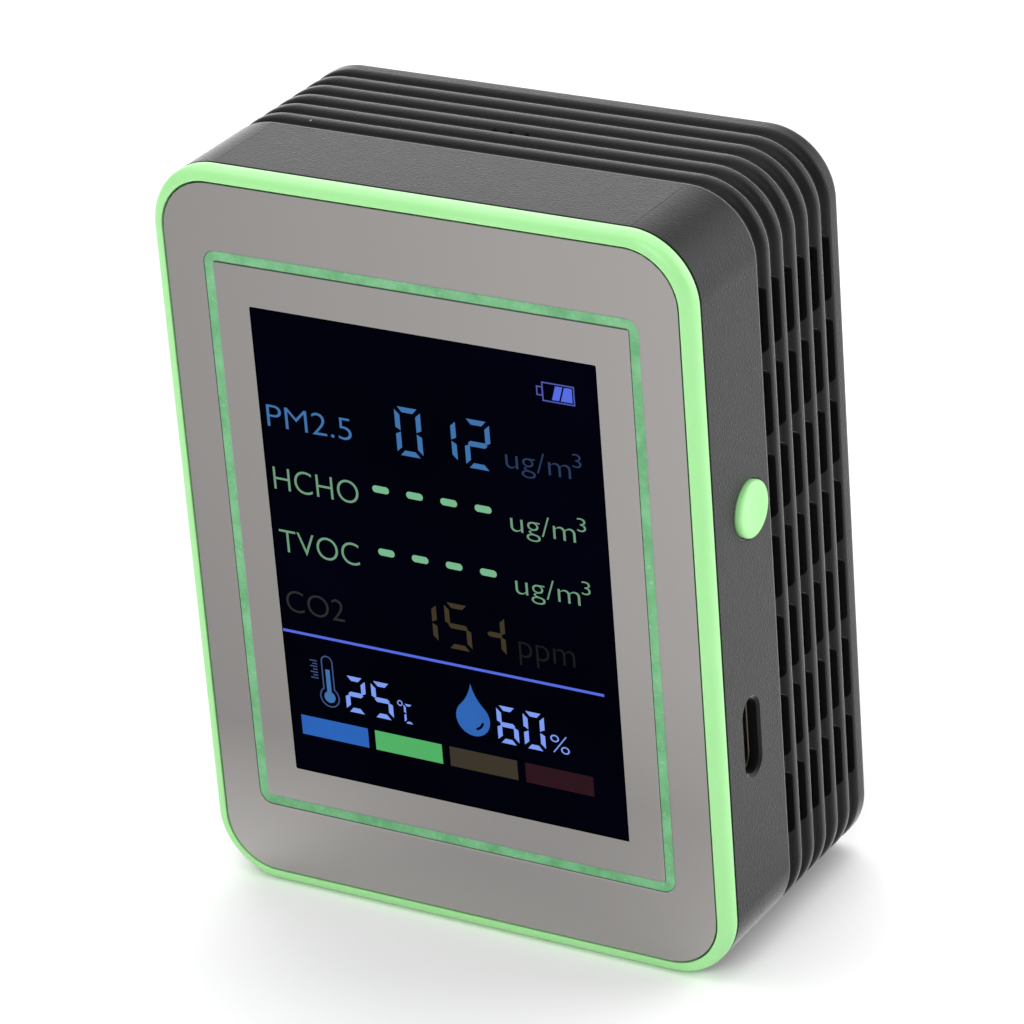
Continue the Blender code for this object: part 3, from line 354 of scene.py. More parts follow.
class Surface:
    """A Principled material and the short calls that wire its texture nodes."""

    def __init__(self, name, colour, roughness, metallic=0.0, **settings):
        self.material = bpy.data.materials.new(name)
        self.material.use_nodes = True
        self.tree = self.material.node_tree
        self.shader = self.tree.nodes["Principled BSDF"]
        self.set("Base Color", (*colour, 1.0))
        self.set("Roughness", roughness)
        self.set("Metallic", metallic)
        for socket, value in settings.items():
            self.set(socket.replace("_", " "), value)
        self.place = self.node("ShaderNodeTexCoord").outputs["Object"]

    def set(self, socket, value):
        self.shader.inputs[socket].default_value = value

    def node(self, kind, **settings):
        made = self.tree.nodes.new(kind)
        for name, value in settings.items():
            setattr(made, name, value)
        return made

    def link(self, source, target):
        self.tree.links.new(source, target)

    def scaled(self, size, stretch, shift):
        """Places on the piece in units of this size in metres, stretched along each axis."""
        mapping = self.node("ShaderNodeMapping")
        mapping.inputs["Scale"].default_value = [1 / (size * s) for s in stretch]
        mapping.inputs["Location"].default_value = (shift, shift, shift)
        self.link(self.place, mapping.inputs["Vector"])
        return mapping.outputs[0]

    def noise(self, size, detail=2.0, rough=0.5, stretch=(1, 1, 1), shift=0.0):
        """Noise with features about this size in metres, longer along an axis whose stretch is over 1."""
        made = self.node("ShaderNodeTexNoise")
        made.inputs["Scale"].default_value = 1.0
        made.inputs["Detail"].default_value = detail
        made.inputs["Roughness"].default_value = rough
        self.link(self.scaled(size, stretch, shift), made.inputs["Vector"])
        return made.outputs["Fac"]

    def cells(self, size, feature="F1", output="Distance", shift=0.0):
        """Cells about this size in metres."""
        made = self.node("ShaderNodeTexVoronoi", feature=feature)
        made.inputs["Scale"].default_value = 1.0
        self.link(self.scaled(size, (1, 1, 1), shift), made.inputs["Vector"])
        return made.outputs[output]

    def ramp(self, source, stops):
        """A colour ramp: stops are (position, grey or colour)."""
        made = self.node("ShaderNodeValToRGB")
        elements = made.color_ramp.elements
        while len(elements) < len(stops):
            elements.new(0.5)
        for element, (position, value) in zip(elements, stops):
            element.position = position
            element.color = (*value, 1) if isinstance(value, tuple) else (value, value, value, 1)
        self.link(source, made.inputs[0])
        return made.outputs[0]

    def mix(self, share, first, second):
        """A mix of two colours or colour outputs."""
        made = self.node("ShaderNodeMix", data_type="RGBA")
        for socket, value in ((made.inputs[0], share), (made.inputs[6], first), (made.inputs[7], second)):
            if isinstance(value, tuple):
                socket.default_value = (*value, 1)
            elif isinstance(value, float):
                socket.default_value = value
            else:
                self.link(value, socket)
        return made.outputs[2]

    def math(self, operation, first, second=0.5):
        """One sum on two values."""
        made = self.node("ShaderNodeMath", operation=operation)
        for socket, value in zip(made.inputs, (first, second)):
            if isinstance(value, (int, float)):
                socket.default_value = value
            else:
                self.link(value, socket)
        return made.outputs[0]

    def span(self, source, low, high):
        """A value of about 0 to 1, spread from low to high."""
        made = self.node("ShaderNodeMapRange")
        made.inputs["To Min"].default_value = low
        made.inputs["To Max"].default_value = high
        self.link(source, made.inputs["Value"])
        return made.outputs[0]

    def along(self, axis, start, end):
        """A value of 0 to 1 that runs from one place to another along an axis, in metres."""
        split = self.node("ShaderNodeSeparateXYZ")
        self.link(self.place, split.inputs[0])
        made = self.node("ShaderNodeMapRange")
        made.inputs["From Min"].default_value = start
        made.inputs["From Max"].default_value = end
        self.link(split.outputs[axis], made.inputs["Value"])
        return made.outputs[0]

    def colour(self, source):
        self.link(source, self.shader.inputs["Base Color"])

    def rough(self, source, low, high):
        self.link(self.span(source, low, high), self.shader.inputs["Roughness"])

    def bump(self, source, depth):
        """Raises the surface by up to depth metres."""
        made = self.node("ShaderNodeBump")
        made.inputs["Distance"].default_value = depth
        self.link(source, made.inputs["Height"])
        self.link(made.outputs[0], self.shader.inputs["Normal"])


def dusted(surface, colour, dust, size, rarity, shift=0.0):
    """The colour with sparse pale specks of dust: a dot in each cell whose own random value is rare."""
    distance = surface.cells(size, shift=shift)
    chance = surface.cells(size, output="Color", shift=shift)
    dot = surface.ramp(distance, [(0.0, 1.0), (0.02, 1.0), (0.04, 0.0)])
    rare = surface.ramp(chance, [(0.0, 0.0), (rarity, 0.0), (min(rarity + 0.02, 1.0), 1.0)])
    share = surface.math("MULTIPLY", dot, rare)
    return surface.mix(share, colour, dust)


def dark_shell():
    """Dark grey moulded plastic with a fine spark-eroded texture."""
    made = Surface("dark_shell", (0.005, 0.005, 0.0055), 0.45, Specular_IOR_Level=0.18)
    made.set("Sheen Weight", 0.95)
    made.set("Sheen Roughness", 0.28)
    tone = made.noise(9 * MM, 3.0)
    shade = made.mix(tone, (0.0042, 0.0042, 0.0046), (0.006, 0.006, 0.0064))
    made.colour(dusted(made, shade, (0.4, 0.4, 0.39), 4.0 * MM, 0.86))
    grain = made.noise(0.16 * MM, 2.0, 0.6)
    pits = made.cells(0.22 * MM, "SMOOTH_F1")
    made.rough(made.noise(1.8 * MM, 3.0), 0.4, 0.5)
    made.bump(made.math("ADD", grain, pits), 0.03 * MM)
    return made.material


def green_plastic():
    """Pastel green satin plastic."""
    made = Surface("green_frame", (0.42, 0.93, 0.37), 0.34, Subsurface_Weight=0.08, Subsurface_Scale=0.6 * MM)
    made.set("Subsurface Radius", (0.5, 1.0, 0.4))
    tone = made.noise(12 * MM, 2.0)
    shade = made.mix(tone, (0.335, 0.755, 0.29), (0.375, 0.785, 0.33))
    made.colour(dusted(made, shade, (0.75, 0.97, 0.7), 6 * MM, 0.9, 3.0))
    made.rough(made.noise(1.1 * MM, 3.0), 0.3, 0.42)
    made.bump(made.noise(0.2 * MM, 2.0), 0.004 * MM)
    return made.material


def mirror_coating_with_painted_reflection():
    """A warm grey mirror coating with faint haze and dust, its colour painted paler towards the right and the
    foot: a painted reflection of brighter surroundings mirrored there.
    """
    made = Surface("mirror_panel", (0.25, 0.238, 0.232), 0.07, 1.0, Coat_Weight=0.25, Coat_Roughness=0.03)
    # painted reflection: the colour grows paler from left to right, standing in for brighter surroundings
    # mirrored on the right
    shade = made.mix(made.along("X", -WIDTH / 2, WIDTH / 2), (0.212, 0.202, 0.197), (0.282, 0.268, 0.261))
    # painted reflection: paler over the lowest 20 mm, standing in for lit floor mirrored at the foot
    shade = made.mix(made.along("Z", 20 * MM, 4 * MM), shade, (0.38, 0.362, 0.353))
    made.colour(dusted(made, shade, (0.7, 0.69, 0.68), 9 * MM, 0.72, 1.5))
    made.rough(made.noise(7 * MM, 5.0, 0.6, (1, 1, 2.5)), 0.05, 0.13)
    made.bump(made.noise(16 * MM, 1.0), 0.02 * MM)
    return made.material


def green_inlay():
    """Glossy darker green, uneven along its length, with paler worn patches."""
    made = Surface("green_line", (0.12, 0.42, 0.17), 0.22, Coat_Weight=0.3, Coat_Roughness=0.08)
    patches = made.ramp(made.noise(3.2 * MM, 3.0, 0.6), [(0.35, 0.0), (0.62, 1.0)])
    scuffs = made.ramp(made.noise(0.9 * MM, 2.0, 0.6, shift=4.0), [(0.64, 0.0), (0.76, 1.0)])
    shade = made.mix(patches, (0.085, 0.33, 0.125), (0.15, 0.45, 0.2))
    made.colour(made.mix(scuffs, shade, (0.2, 0.52, 0.27)))
    made.rough(made.noise(0.7 * MM, 2.0), 0.15, 0.35)
    made.bump(made.noise(0.35 * MM, 2.0), 0.006 * MM)
    return made.material


def display_cell():
    """The dark face of the display: near black, with faint navy patches here and there, under polished glass.
    """
    made = Surface("display_black", (0.001, 0.001, 0.003), 0.06, Specular_IOR_Level=0.0)
    tone = made.noise(22 * MM, 2.0)
    made.colour(made.mix(tone, (0.0003, 0.0003, 0.0008), (0.0008, 0.0012, 0.006)))
    made.rough(made.noise(5 * MM, 4.0), 0.03, 0.1)
    return made.material


def lit(name, colour):
    """A lit area of the display, a little uneven as a backlight is."""
    made = Surface(name, (0.0, 0.0, 0.0), 0.3, Specular_IOR_Level=0.0)
    darker = tuple(channel * 0.88 for channel in colour)
    made.link(made.mix(made.noise(1.3 * MM, 2.0), darker, colour), made.shader.inputs["Emission Color"])
    made.set("Emission Strength", 1.0)
    return made.material


def moulded(name, colour, roughness, **settings):
    """Plain moulded plastic with a fine grain and a slow drift in tone."""
    made = Surface(name, colour, roughness, **settings)
    darker = tuple(channel * 0.86 for channel in colour)
    made.colour(made.mix(made.noise(4 * MM, 3.0), darker, colour))
    made.rough(made.noise(0.9 * MM, 2.0), roughness - 0.06, roughness + 0.06)
    made.bump(made.noise(0.25 * MM, 2.0), 0.004 * MM)
    return made.material


def metal(name, colour, roughness):
    """Bare or plated metal with fine drawn or turned marks."""
    made = Surface(name, colour, roughness, 1.0)
    marks = made.noise(0.12 * MM, 3.0, 0.6, (1, 1, 12))
    darker = tuple(channel * 0.75 for channel in colour)
    made.colour(made.mix(marks, darker, colour))
    made.rough(marks, roughness - 0.1, roughness + 0.12)
    made.bump(marks, 0.003 * MM)
    return made.material


def circuit_board():
    """Green solder mask over copper tracks."""
    made = Surface("green_board", (0.02, 0.16, 0.07), 0.35, Coat_Weight=0.3, Coat_Roughness=0.1)
    brick = made.node("ShaderNodeTexBrick", offset=0.37, squash=0.7)
    brick.inputs["Scale"].default_value = 1 / (7 * MM)
    brick.inputs["Mortar Size"].default_value = 0.03
    brick.inputs["Color1"].default_value = (0, 0, 0, 1)
    brick.inputs["Color2"].default_value = (0.05, 0.05, 0.05, 1)
    brick.inputs["Mortar"].default_value = (1, 1, 1, 1)
    turned_place = made.node("ShaderNodeMapping")
    turned_place.inputs["Rotation"].default_value = (math.pi / 2, 0, 0)
    made.link(made.place, turned_place.inputs["Vector"])
    made.link(turned_place.outputs[0], brick.inputs["Vector"])
    tracks = brick.outputs["Color"]
    made.colour(made.mix(tracks, (0.012, 0.11, 0.045), (0.03, 0.24, 0.11)))
    made.rough(made.noise(1.5 * MM, 2.0), 0.28, 0.42)
    made.bump(tracks, 0.02 * MM)
    return made.material


def foil_pouch():
    """Crinkled laminated foil, its colour painted darker in the hollows of the creases and paler on their
    ridges: painted shade and highlight.
    """
    made = Surface("silver_pouch", (0.66, 0.67, 0.68), 0.32, 0.85)
    creases_and_painted_shade = made.noise(5 * MM, 5.0, 0.65)
    # painted shade and highlight: the colour follows the crease bump, darker in its hollows and paler on its
    # ridges
    made.colour(made.mix(creases_and_painted_shade, (0.52, 0.53, 0.54), (0.74, 0.75, 0.76)))
    made.rough(made.noise(1.5 * MM, 3.0), 0.24, 0.42)
    made.bump(creases_and_painted_shade, 0.12 * MM)
    return made.material


def closed_foam():
    """Black closed-cell foam, with painted shade darkening the hollow of each pore."""
    made = Surface("foam", (0.03, 0.03, 0.03), 0.95)
    pores_and_painted_shade = made.cells(0.35 * MM, "SMOOTH_F1")
    # painted shade: the colour is darkest at the bottom of each pore's pit, where the bump is lowest
    made.colour(made.mix(pores_and_painted_shade, (0.012, 0.012, 0.012), (0.06, 0.06, 0.06)))
    made.bump(pores_and_painted_shade, 0.08 * MM)
    return made.material


def amber_circuit():
    """Amber film with thin copper lines along its length."""
    made = Surface("amber_film", (0.72, 0.36, 0.07), 0.3, Coat_Weight=0.4)
    wave = made.node("ShaderNodeTexWave", bands_direction="X")
    wave.inputs["Scale"].default_value = 1 / (3.2 * MM)
    made.link(made.place, wave.inputs["Vector"])
    lines = made.ramp(wave.outputs["Fac"], [(0.45, 0.0), (0.55, 1.0)])
    made.colour(made.mix(lines, (0.72, 0.36, 0.07), (0.50, 0.20, 0.03)))
    made.rough(made.noise(1.2 * MM, 2.0), 0.22, 0.38)
    made.bump(lines, 0.01 * MM)
    return made.material


MATERIALS = {
    "dark_shell": dark_shell(),
    "green_frame": green_plastic(),
    "mirror_panel": mirror_coating_with_painted_reflection(),
    "green_line": green_inlay(),
    "display_black": display_cell(),
    "white_plastic": moulded("white_plastic", (0.82, 0.82, 0.80), 0.45),
    "clear_plastic": moulded("clear_plastic", (0.88, 0.91, 0.93), 0.12, Transmission_Weight=0.6),
    "amber_film": amber_circuit(),
    "green_board": circuit_board(),
    "black_plastic": moulded("black_plastic", (0.022, 0.022, 0.024), 0.42),
    "cream_plastic": moulded("cream_plastic", (0.80, 0.75, 0.62), 0.45),
    "steel": metal("steel", (0.62, 0.62, 0.61), 0.3),
    "brass": metal("brass", (0.78, 0.58, 0.27), 0.32),
    "silver_pouch": foil_pouch(),
    "foam": closed_foam(),
    "blue_case": moulded("blue_case", (0.04, 0.14, 0.36), 0.4),
    "red_lead": moulded("red_lead", (0.55, 0.025, 0.02), 0.4),
    "black_lead": moulded("black_lead", (0.016, 0.016, 0.017), 0.4),
}


def dress_cad_nodes():
    """Every CAD node that still shows takes its slot's material and slightly rounded edges."""
    for row in frame["record"]["subparts"]:
        node = frame["nodes"][row["node"]]
        node.data.materials.clear()
        node.data.materials.append(MATERIALS[row["material_slot"]])
        edge = node.modifiers.new("Edges", "BEVEL")
        edge.width = 0.08 * MM
        edge.segments = 2
        edge.limit_method = "ANGLE"
        edge.angle_limit = math.radians(50)
        edge.harden_normals = True


# The outer shells


def groove_stations(middle):
    """(inset, y) over one groove, from the rib behind it to the rib before it."""
    half = (GROOVE_PITCH - GROOVE_LAND) / 2
    slope = 2 * math.atan2(GROOVE_DEPTH, half)
    both_radii = half / math.sin(slope)
    crest = CREST_SHARE * both_radii
    floor = both_radii - crest
    steps = 6
    angles = [slope * step / steps for step in range(steps + 1)]
    behind = [(crest * (1 - math.cos(a)), half - crest * math.sin(a)) for a in angles[:-1]]
    behind += [(GROOVE_DEPTH - floor * (1 - math.cos(a)), floor * math.sin(a)) for a in reversed(angles[1:])]
    before = [(inset, -y) for inset, y in reversed(behind)]
    return [(inset, middle + y) for inset, y in behind + [(GROOVE_DEPTH, 0.0)] + before]


def tub_stations():
    """(inset, y) of the tub's skin, from its back over the grooves and round its front edge to its inside."""
    path = filleted([(WALL, BACK, 0), (0, BACK, BACK_EDGE_RADIUS), (0, 0, 0)], steps=8)[:-1]
    for number in reversed(range(GROOVES)):
        path += groove_stations(FIRST_GROOVE + number * GROOVE_PITCH)
    path += filleted([(0, 0, 0), (0, TUB_FRONT, FRONT_LIP), (WALL, TUB_FRONT, FRONT_LIP), (WALL, 0, 0)],
                     steps=3)[1:-1]
    return path + [(WALL, INNER_BACK)]


def slot_cutters():
    """Cutters for the rows of slots in the floors of the grooves, through both sides."""
    outline = rounded(SLOT_WIDTH, SLOT_LENGTH, SLOT_WIDTH / 2 - HAIR, steps=7)
    shapes = []
    for side in (-1, 1):
        start, end = sorted((side * (INNER_SIDE - GAP), side * (WIDTH / 2 + GAP)))
        cutter = moved(layered([(outline, start), (outline, end)]), ALONG_X)
        for groove in range(GROOVES):
            for row in range(SLOT_ROWS):
                z = MIDDLE + (row - (SLOT_ROWS - 1) / 2) * SLOT_PITCH
                shapes.append(moved(cutter, at(0, FIRST_GROOVE + groove * GROOVE_PITCH, z)))
    return shapes


def screw_bores():
    """Cutters for the case screws: a bore for each shank, and a wider one for its head with a soft mouth."""
    mouth = HEAD_ROOM + GAP
    bore = turned([(SHANK_ROOM, POST_END - GAP), (SHANK_ROOM, HEAD_SEAT), (HEAD_ROOM, HEAD_SEAT),
                   (HEAD_ROOM, BACK - GAP), (mouth, BACK + HAIR), (mouth, BACK + GAP)])
    return [moved(bore, at(x, 0, z)) for x, z in POSTS]


def set_in_side(shape, low, high):
    """A shape made along +Y about the origin, turned to run along +X through the middle of a box."""
    return moved(moved(shape, ALONG_X), at(0, (low.y + high.y) / 2, (low.z + high.z) / 2))


def button_hole():
    """The cutter for the button, with a chamfer outside."""
    side, mouth = WIDTH / 2, BUTTON_HOLE_RADIUS + TOUCH
    profile = [(BUTTON_HOLE_RADIUS, INNER_SIDE - GAP), (BUTTON_HOLE_RADIUS, side - TOUCH), (mouth, side),
               (mouth, side + GAP)]
    return set_in_side(turned(profile, 56), BUTTON_LOW, BUTTON_HIGH)


def socket_hole():
    """The cutter for the charging socket, with a chamfer outside."""
    side = WIDTH / 2
    tall = SOCKET_HIGH.y - SOCKET_LOW.y + 2 * TOUCH
    wide = SOCKET_HIGH.z - SOCKET_LOW.z + 2 * TOUCH
    stations = []
    for grow, x in ((0, INNER_SIDE - GAP), (0, side - SOCKET_CHAMFER), (SOCKET_CHAMFER, side),
                    (SOCKET_CHAMFER, side + GAP)):
        outline = rounded(tall + 2 * grow, wide + 2 * grow, tall / 2 + grow - HAIR, steps=12)
        stations.append((outline, x))
    return set_in_side(layered(stations), SOCKET_LOW, SOCKET_HIGH)


def sound_holes():
    """Cutters for the small holes over the buzzer, each with a wider relief inside a thin skin."""
    skin_low = HEIGHT - GROOVE_DEPTH - SOUND_HOLE_SKIN
    drill = turned([(SOUND_HOLE_RELIEF, INNER_TOP - GAP), (SOUND_HOLE_RELIEF, skin_low),
                    (SOUND_HOLE_RADIUS, skin_low), (SOUND_HOLE_RADIUS, HEIGHT + GAP)], 24)
    drill = moved(drill, ALONG_Z)
    middle = (SOUND_HOLES - 1) / 2
    return [moved(drill, at((hole - middle) * SOUND_HOLE_PITCH, BUZZER_Y, 0)) for hole in range(SOUND_HOLES)]


def parting_marks():
    """Cutters for the fine mould lines across the top and the bottom, in front of the grooves."""
    shapes = []
    for x in (-PARTING_X, PARTING_X):
        for low, high in ((HEIGHT - PARTING_SIZE, HEIGHT + GAP), (-GAP, PARTING_SIZE)):
            start = (x - PARTING_SIZE, TUB_FRONT - GAP, low)
            shapes.append(box(start, (x + PARTING_SIZE, PARTING_END, high)))
    return shapes


def tub():
    """The ribbed tub, with a column for each case screw."""
    mesh = mesh_of("tub", [layered([(inset_outline(inset), y) for inset, y in tub_stations()])])
    columns = [rod(COLUMN_RADIUS, POST_END + GAP, INNER_BACK + WALL / 2, place) for place in POSTS]
    mesh = combined(mesh, "UNION", columns)
    cutters = slot_cutters() + screw_bores() + [button_hole(), socket_hole()]
    cutters += sound_holes() + parting_marks()
    mesh = combined(mesh, "DIFFERENCE", cutters)
    show("tub_shell", mesh, "dark_shell", replaces=["housing"])


def rim_and_frame():
    """The green frame: its rim, the pocket behind the panel, and the posts and bosses at its back."""
    window = rounded(*WINDOW_SIZE, WINDOW_CORNER, GLASS_MIDDLE)
    skirt_outer, skirt_inner = WALL + GAP, WALL + GAP + SKIRT
    outer = filleted([(RIM_LIP, POCKET_FLOOR, 0), (RIM_LIP, FRONT, RIM_INNER_EDGE), (0, FRONT, 0)],
                     steps=3)[:-1]
    outer += filleted([(RIM_LIP, FRONT, 0), (0, FRONT, RIM_EDGE), (0, RIM_BACK, 0)], steps=12)[1:-1]
    outer += filleted([(0, FRONT, 0), (0, RIM_BACK, RIM_INNER_EDGE), (skirt_outer, RIM_BACK, 0)],
                      steps=3)[1:]
    outer += [(skirt_outer, SKIRT_END), (skirt_inner, SKIRT_END), (skirt_inner, FLOOR_BACK)]
    stations = [(inset_outline(inset), y) for inset, y in outer]
    stations += [(window, FLOOR_BACK), (window, POCKET_FLOOR)]
    mesh = mesh_of("frame", [layered(stations, closed=True)])
    root = FLOOR_BACK - POST_ROOT
    board_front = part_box("main_board")[0].y
    columns = [rod(POST_RADIUS, root, POST_END, place, 28) for place in POSTS]
    columns += [rod(BOSS_RADIUS, root, board_front - TOUCH, place, 28) for place in BOSSES]
    mesh = combined(mesh, "UNION", columns)
    pilots = [rod(POST_PILOT, FLOOR_BACK, POST_END + GAP, place, 20) for place in POSTS]
    pilots += [rod(BOSS_PILOT, POCKET_FLOOR + BOSS_SKIN, board_front + GAP, place, 16) for place in BOSSES]
    mesh = combined(mesh, "DIFFERENCE", pilots)
    show("green_rim", mesh, "green_frame", replaces=["front_frame"])


def line_outline(inset):
    """The outline of the channel round the display, moved inwards."""
    width = LINE_HIGH.x - LINE_LOW.x + 2 * (TOUCH - inset)
    height = LINE_HIGH.z - LINE_LOW.z + 2 * (TOUCH - inset)
    radius = max(LINE_CORNER - inset, LINE_INNER_CORNER)
    return rounded(width, height, radius, (0, (LINE_LOW.z + LINE_HIGH.z) / 2), PANEL_STEPS)


def glass_outline(grow):
    """The outline of the display's glass, moved outwards."""
    width, height = GLASS_HIGH.x - GLASS_LOW.x, GLASS_HIGH.z - GLASS_LOW.z
    return rounded(width + 2 * grow, height + 2 * grow, GLASS_CORNER, GLASS_MIDDLE, PANEL_STEPS)


def mirror_panel():
    """The mirror panel with soft edges, open for the display and channelled for the green line."""
    front, back = PANEL_LOW.y, PANEL_HIGH.y
    edge, soft, third = RIM_LIP + SEAM, PANEL_EDGE, 0.3 * PANEL_EDGE
    rim = filleted([(edge, back, 0), (edge, front, soft), (edge + 2 * MM, front, 0)], steps=3)
    stations = [(inset_outline(inset, PANEL_STEPS), y) for inset, y in rim]
    lip = [(2 * soft, front), (soft, front), (third, front + third), (0, front + soft),
           (0, front + LINE_CHANNEL)]
    stations += [(line_outline(-away), y) for away, y in lip]
    stations += [(line_outline(LINE_BREADTH + away), y) for away, y in reversed(lip)]
    stations += [(glass_outline(SEAM), front), (glass_outline(SEAM), back)]
    show("mirror_panel", layered(stations, closed=True), "mirror_panel",
         replaces=["front_panel"])


def green_line():
    """The green strip in the panel's channel."""
    front, back = LINE_LOW.y, LINE_HIGH.y
    outer, inner = HAIR, LINE_BREADTH - HAIR
    section = filleted([(outer, back, 0), (outer, front, LINE_EDGE), (inner, front, LINE_EDGE),
                        (inner, back, 0)], closed=True, steps=3)
    stations = [(line_outline(inset), y) for inset, y in section]
    show("green_inlay", layered(stations, closed=True), "green_line",
         replaces=["accent_line"])


def display_window():
    """The display's glass, with finely ground edges."""
    front, back, ground = GLASS_LOW.y, GLASS_HIGH.y, GLASS_EDGE
    section = [(ground, front), (0, front + ground), (0, back - ground), (ground, back)]
    show("display_cell", layered([(glass_outline(-inset), y) for inset, y in section]),
         "display_black", replaces=["display_glass"])


# What the display shows: places are millimetres across from its middle and up from the floor

FACE = GLASS_LOW.y
INK = 0.012 * MM
LETTER_THINNING = 0.012


def srgb(red, green, blue):
    """A linear colour from display values of 0 to 255."""
    shades = (red / 255, green / 255, blue / 255)
    return tuple(c / 12.92 if c <= 0.04 else ((c + 0.055) / 1.055) ** 2.4 for c in shades)


INKS = {name: lit(f"lit_{name}", srgb(*shade)) for name, shade in (
    ("sky", (66, 118, 176)), ("sky_dim", (44, 60, 92)), ("leaf", (124, 188, 146)),
    ("leaf_soft", (112, 160, 128)), ("grey", (46, 46, 45)), ("amber", (66, 58, 40)), ("dim", (28, 28, 27)),
    ("violet", (88, 112, 232)), ("outline", (84, 92, 178)), ("ice", (128, 162, 250)),
    ("thermometer", (64, 84, 128)), ("drop", (50, 104, 184)), ("level_1", (46, 103, 189)),
    ("level_2", (85, 181, 105)), ("level_3", (62, 56, 45)), ("level_4", (47, 24, 31)),
)}


def flat(outlines):
    """Thin solids on the display's face, from outlines that are each an outer ring and its holes."""
    shapes = []
    for rings in outlines:
        outer, *holes = [[(x * MM, z * MM) for x, z in ring] for ring in rings]
        shapes.append(plate(outer, FACE - INK, FACE + INK, holes))
    return shapes


def bar(x0, x1, z0, z1):
    """A rectangle's outline."""
    return [(x0, z0), (x1, z0), (x1, z1), (x0, z1)]


def arc(x, z, radius, start, end, steps=12):
    """Points along an arc about (x, z), between two angles in degrees."""
    angles = [math.radians(start + (end - start) * step / steps) for step in range(steps + 1)]
    return [(x + radius * math.cos(a), z + radius * math.sin(a)) for a in angles]


def open_circle(x, z, radius, gap, steps=24):
    """A circle's outline, anticlockwise, less a gap at its top of this many degrees to each side."""
    return arc(x, z, radius, 90 + gap, 450 - gap, steps)


SEGMENTS = {
    "0": "abcdef", "1": "bc", "2": "abged", "4": "bcg", "5": "afgcd", "6": "afgedc", "C": "afed",
}


def digit(figure, x0, x1, z0, z1, stroke):
    """The lit segments of one seven-segment figure in a box, with mitred ends and thin gaps."""
    half, gap = stroke / 2, stroke * 0.14
    left, right, low, high = x0 + half, x1 - half, z0 + half, z1 - half
    middle = (low + high) / 2
    # Two ends, the side that faces inwards, and 0 for each end at an outer corner or 1 at another segment
    segments = {
        "a": ((left, high), (right, high), -1, 0, 0), "g": ((left, middle), (right, middle), 0, 1, 1),
        "d": ((left, low), (right, low), 1, 0, 0), "f": ((left, middle), (left, high), -1, 1, 0),
        "b": ((right, middle), (right, high), 1, 1, 0), "e": ((left, low), (left, middle), -1, 0, 1),
        "c": ((right, low), (right, middle), 1, 0, 1),
    }
    corner_cut = 1.8
    outlines = []
    for name in SEGMENTS[figure]:
        start, end, inward, start_cut, end_cut = segments[name]
        start, end = Vector(start), Vector(end)
        along = (end - start).normalized()
        across = Vector((-along.y, along.x)) * half
        mitre = along * half
        start, end = start + along * gap, end - along * gap
        if inward == 0:
            ring = [start, start + mitre - across, end - mitre - across, end, end - mitre + across,
                    start + mitre + across]
        else:
            across *= inward
            ring = [start - across + mitre * start_cut, end - across - mitre * end_cut,
                    end + across - mitre * corner_cut * (1 - end_cut),
                    start + across + mitre * corner_cut * (1 - start_cut)]
        outlines.append([[tuple(point) for point in ring]])
    return outlines


def lettering(text, x0, x1, z0, z1):
    """Plain lettering from Blender's own font, fitted to a box, as (points, faces)."""
    curve = bpy.data.curves.new("lettering", "FONT")
    curve.body = text
    curve.size = 1.0
    curve.offset = -LETTER_THINNING
    curve.extrude = 0.01
    holder = in_scene("lettering", curve)
    graph = bpy.context.evaluated_depsgraph_get()
    mesh = bpy.data.meshes.new_from_object(holder.evaluated_get(graph))
    bpy.data.objects.remove(holder)
    xs = [vertex.co.x for vertex in mesh.vertices]
    ys = [vertex.co.y for vertex in mesh.vertices]
    scale_x = (x1 - x0) * MM / (max(xs) - min(xs))
    scale_z = (z1 - z0) * MM / (max(ys) - min(ys))
    points = []
    for vertex in mesh.vertices:
        x = x0 * MM + (vertex.co.x - min(xs)) * scale_x
        z = z0 * MM + (vertex.co.y - min(ys)) * scale_z
        points.append((x, FACE - INK if vertex.co.z > 0 else FACE + INK, z))
    return points, [tuple(polygon.vertices) for polygon in mesh.polygons]


def reading(name, ink, *shapes):
    """One lit item of the display, as a piece."""
    mesh = mesh_of(name, list(shapes))
    work = bmesh.new()
    work.from_mesh(mesh)
    bmesh.ops.remove_doubles(work, verts=work.verts, dist=1e-8)
    work.to_mesh(mesh)
    work.free()
    show(name, mesh, "display_black", INKS[ink], weighted=False)


def battery():
    """The battery icon: its outline, its end cap and two slanted charge bars."""
    case = [bar(14.68, 18.64, 67.32, 69.57), bar(14.83, 18.49, 67.47, 69.42)]
    cap = [bar(14.0, 14.66, 67.9, 69.0), bar(14.14, 14.64, 68.04, 68.86)]
    reading("battery_outline", "outline", *flat([case, cap]))
    low, high = 67.62, 69.27
    first = [(15.85, low), (16.72, low), (17.22, high), (16.35, high)]
    second = [(16.92, low), (18.34, low), (18.34, high), (17.42, high)]
    reading("battery_charge", "violet", *flat([[first], [second]]))


def particles():
    """Fine particles: the label and three figures."""
    reading("particles_label", "sky", lettering("PM2.5", -20.64, -9.79, 58.43, 61.07))
    stroke, low, high = 0.62, 57.86, 63.64
    figures = digit("0", -4.04, -0.79, low, high, stroke) + digit("1", 0.3, 3.54, 58.1, 63.4, stroke)
    figures += digit("2", 4.57, 7.79, low, high, stroke)
    reading("particles_figures", "sky", *flat(figures))


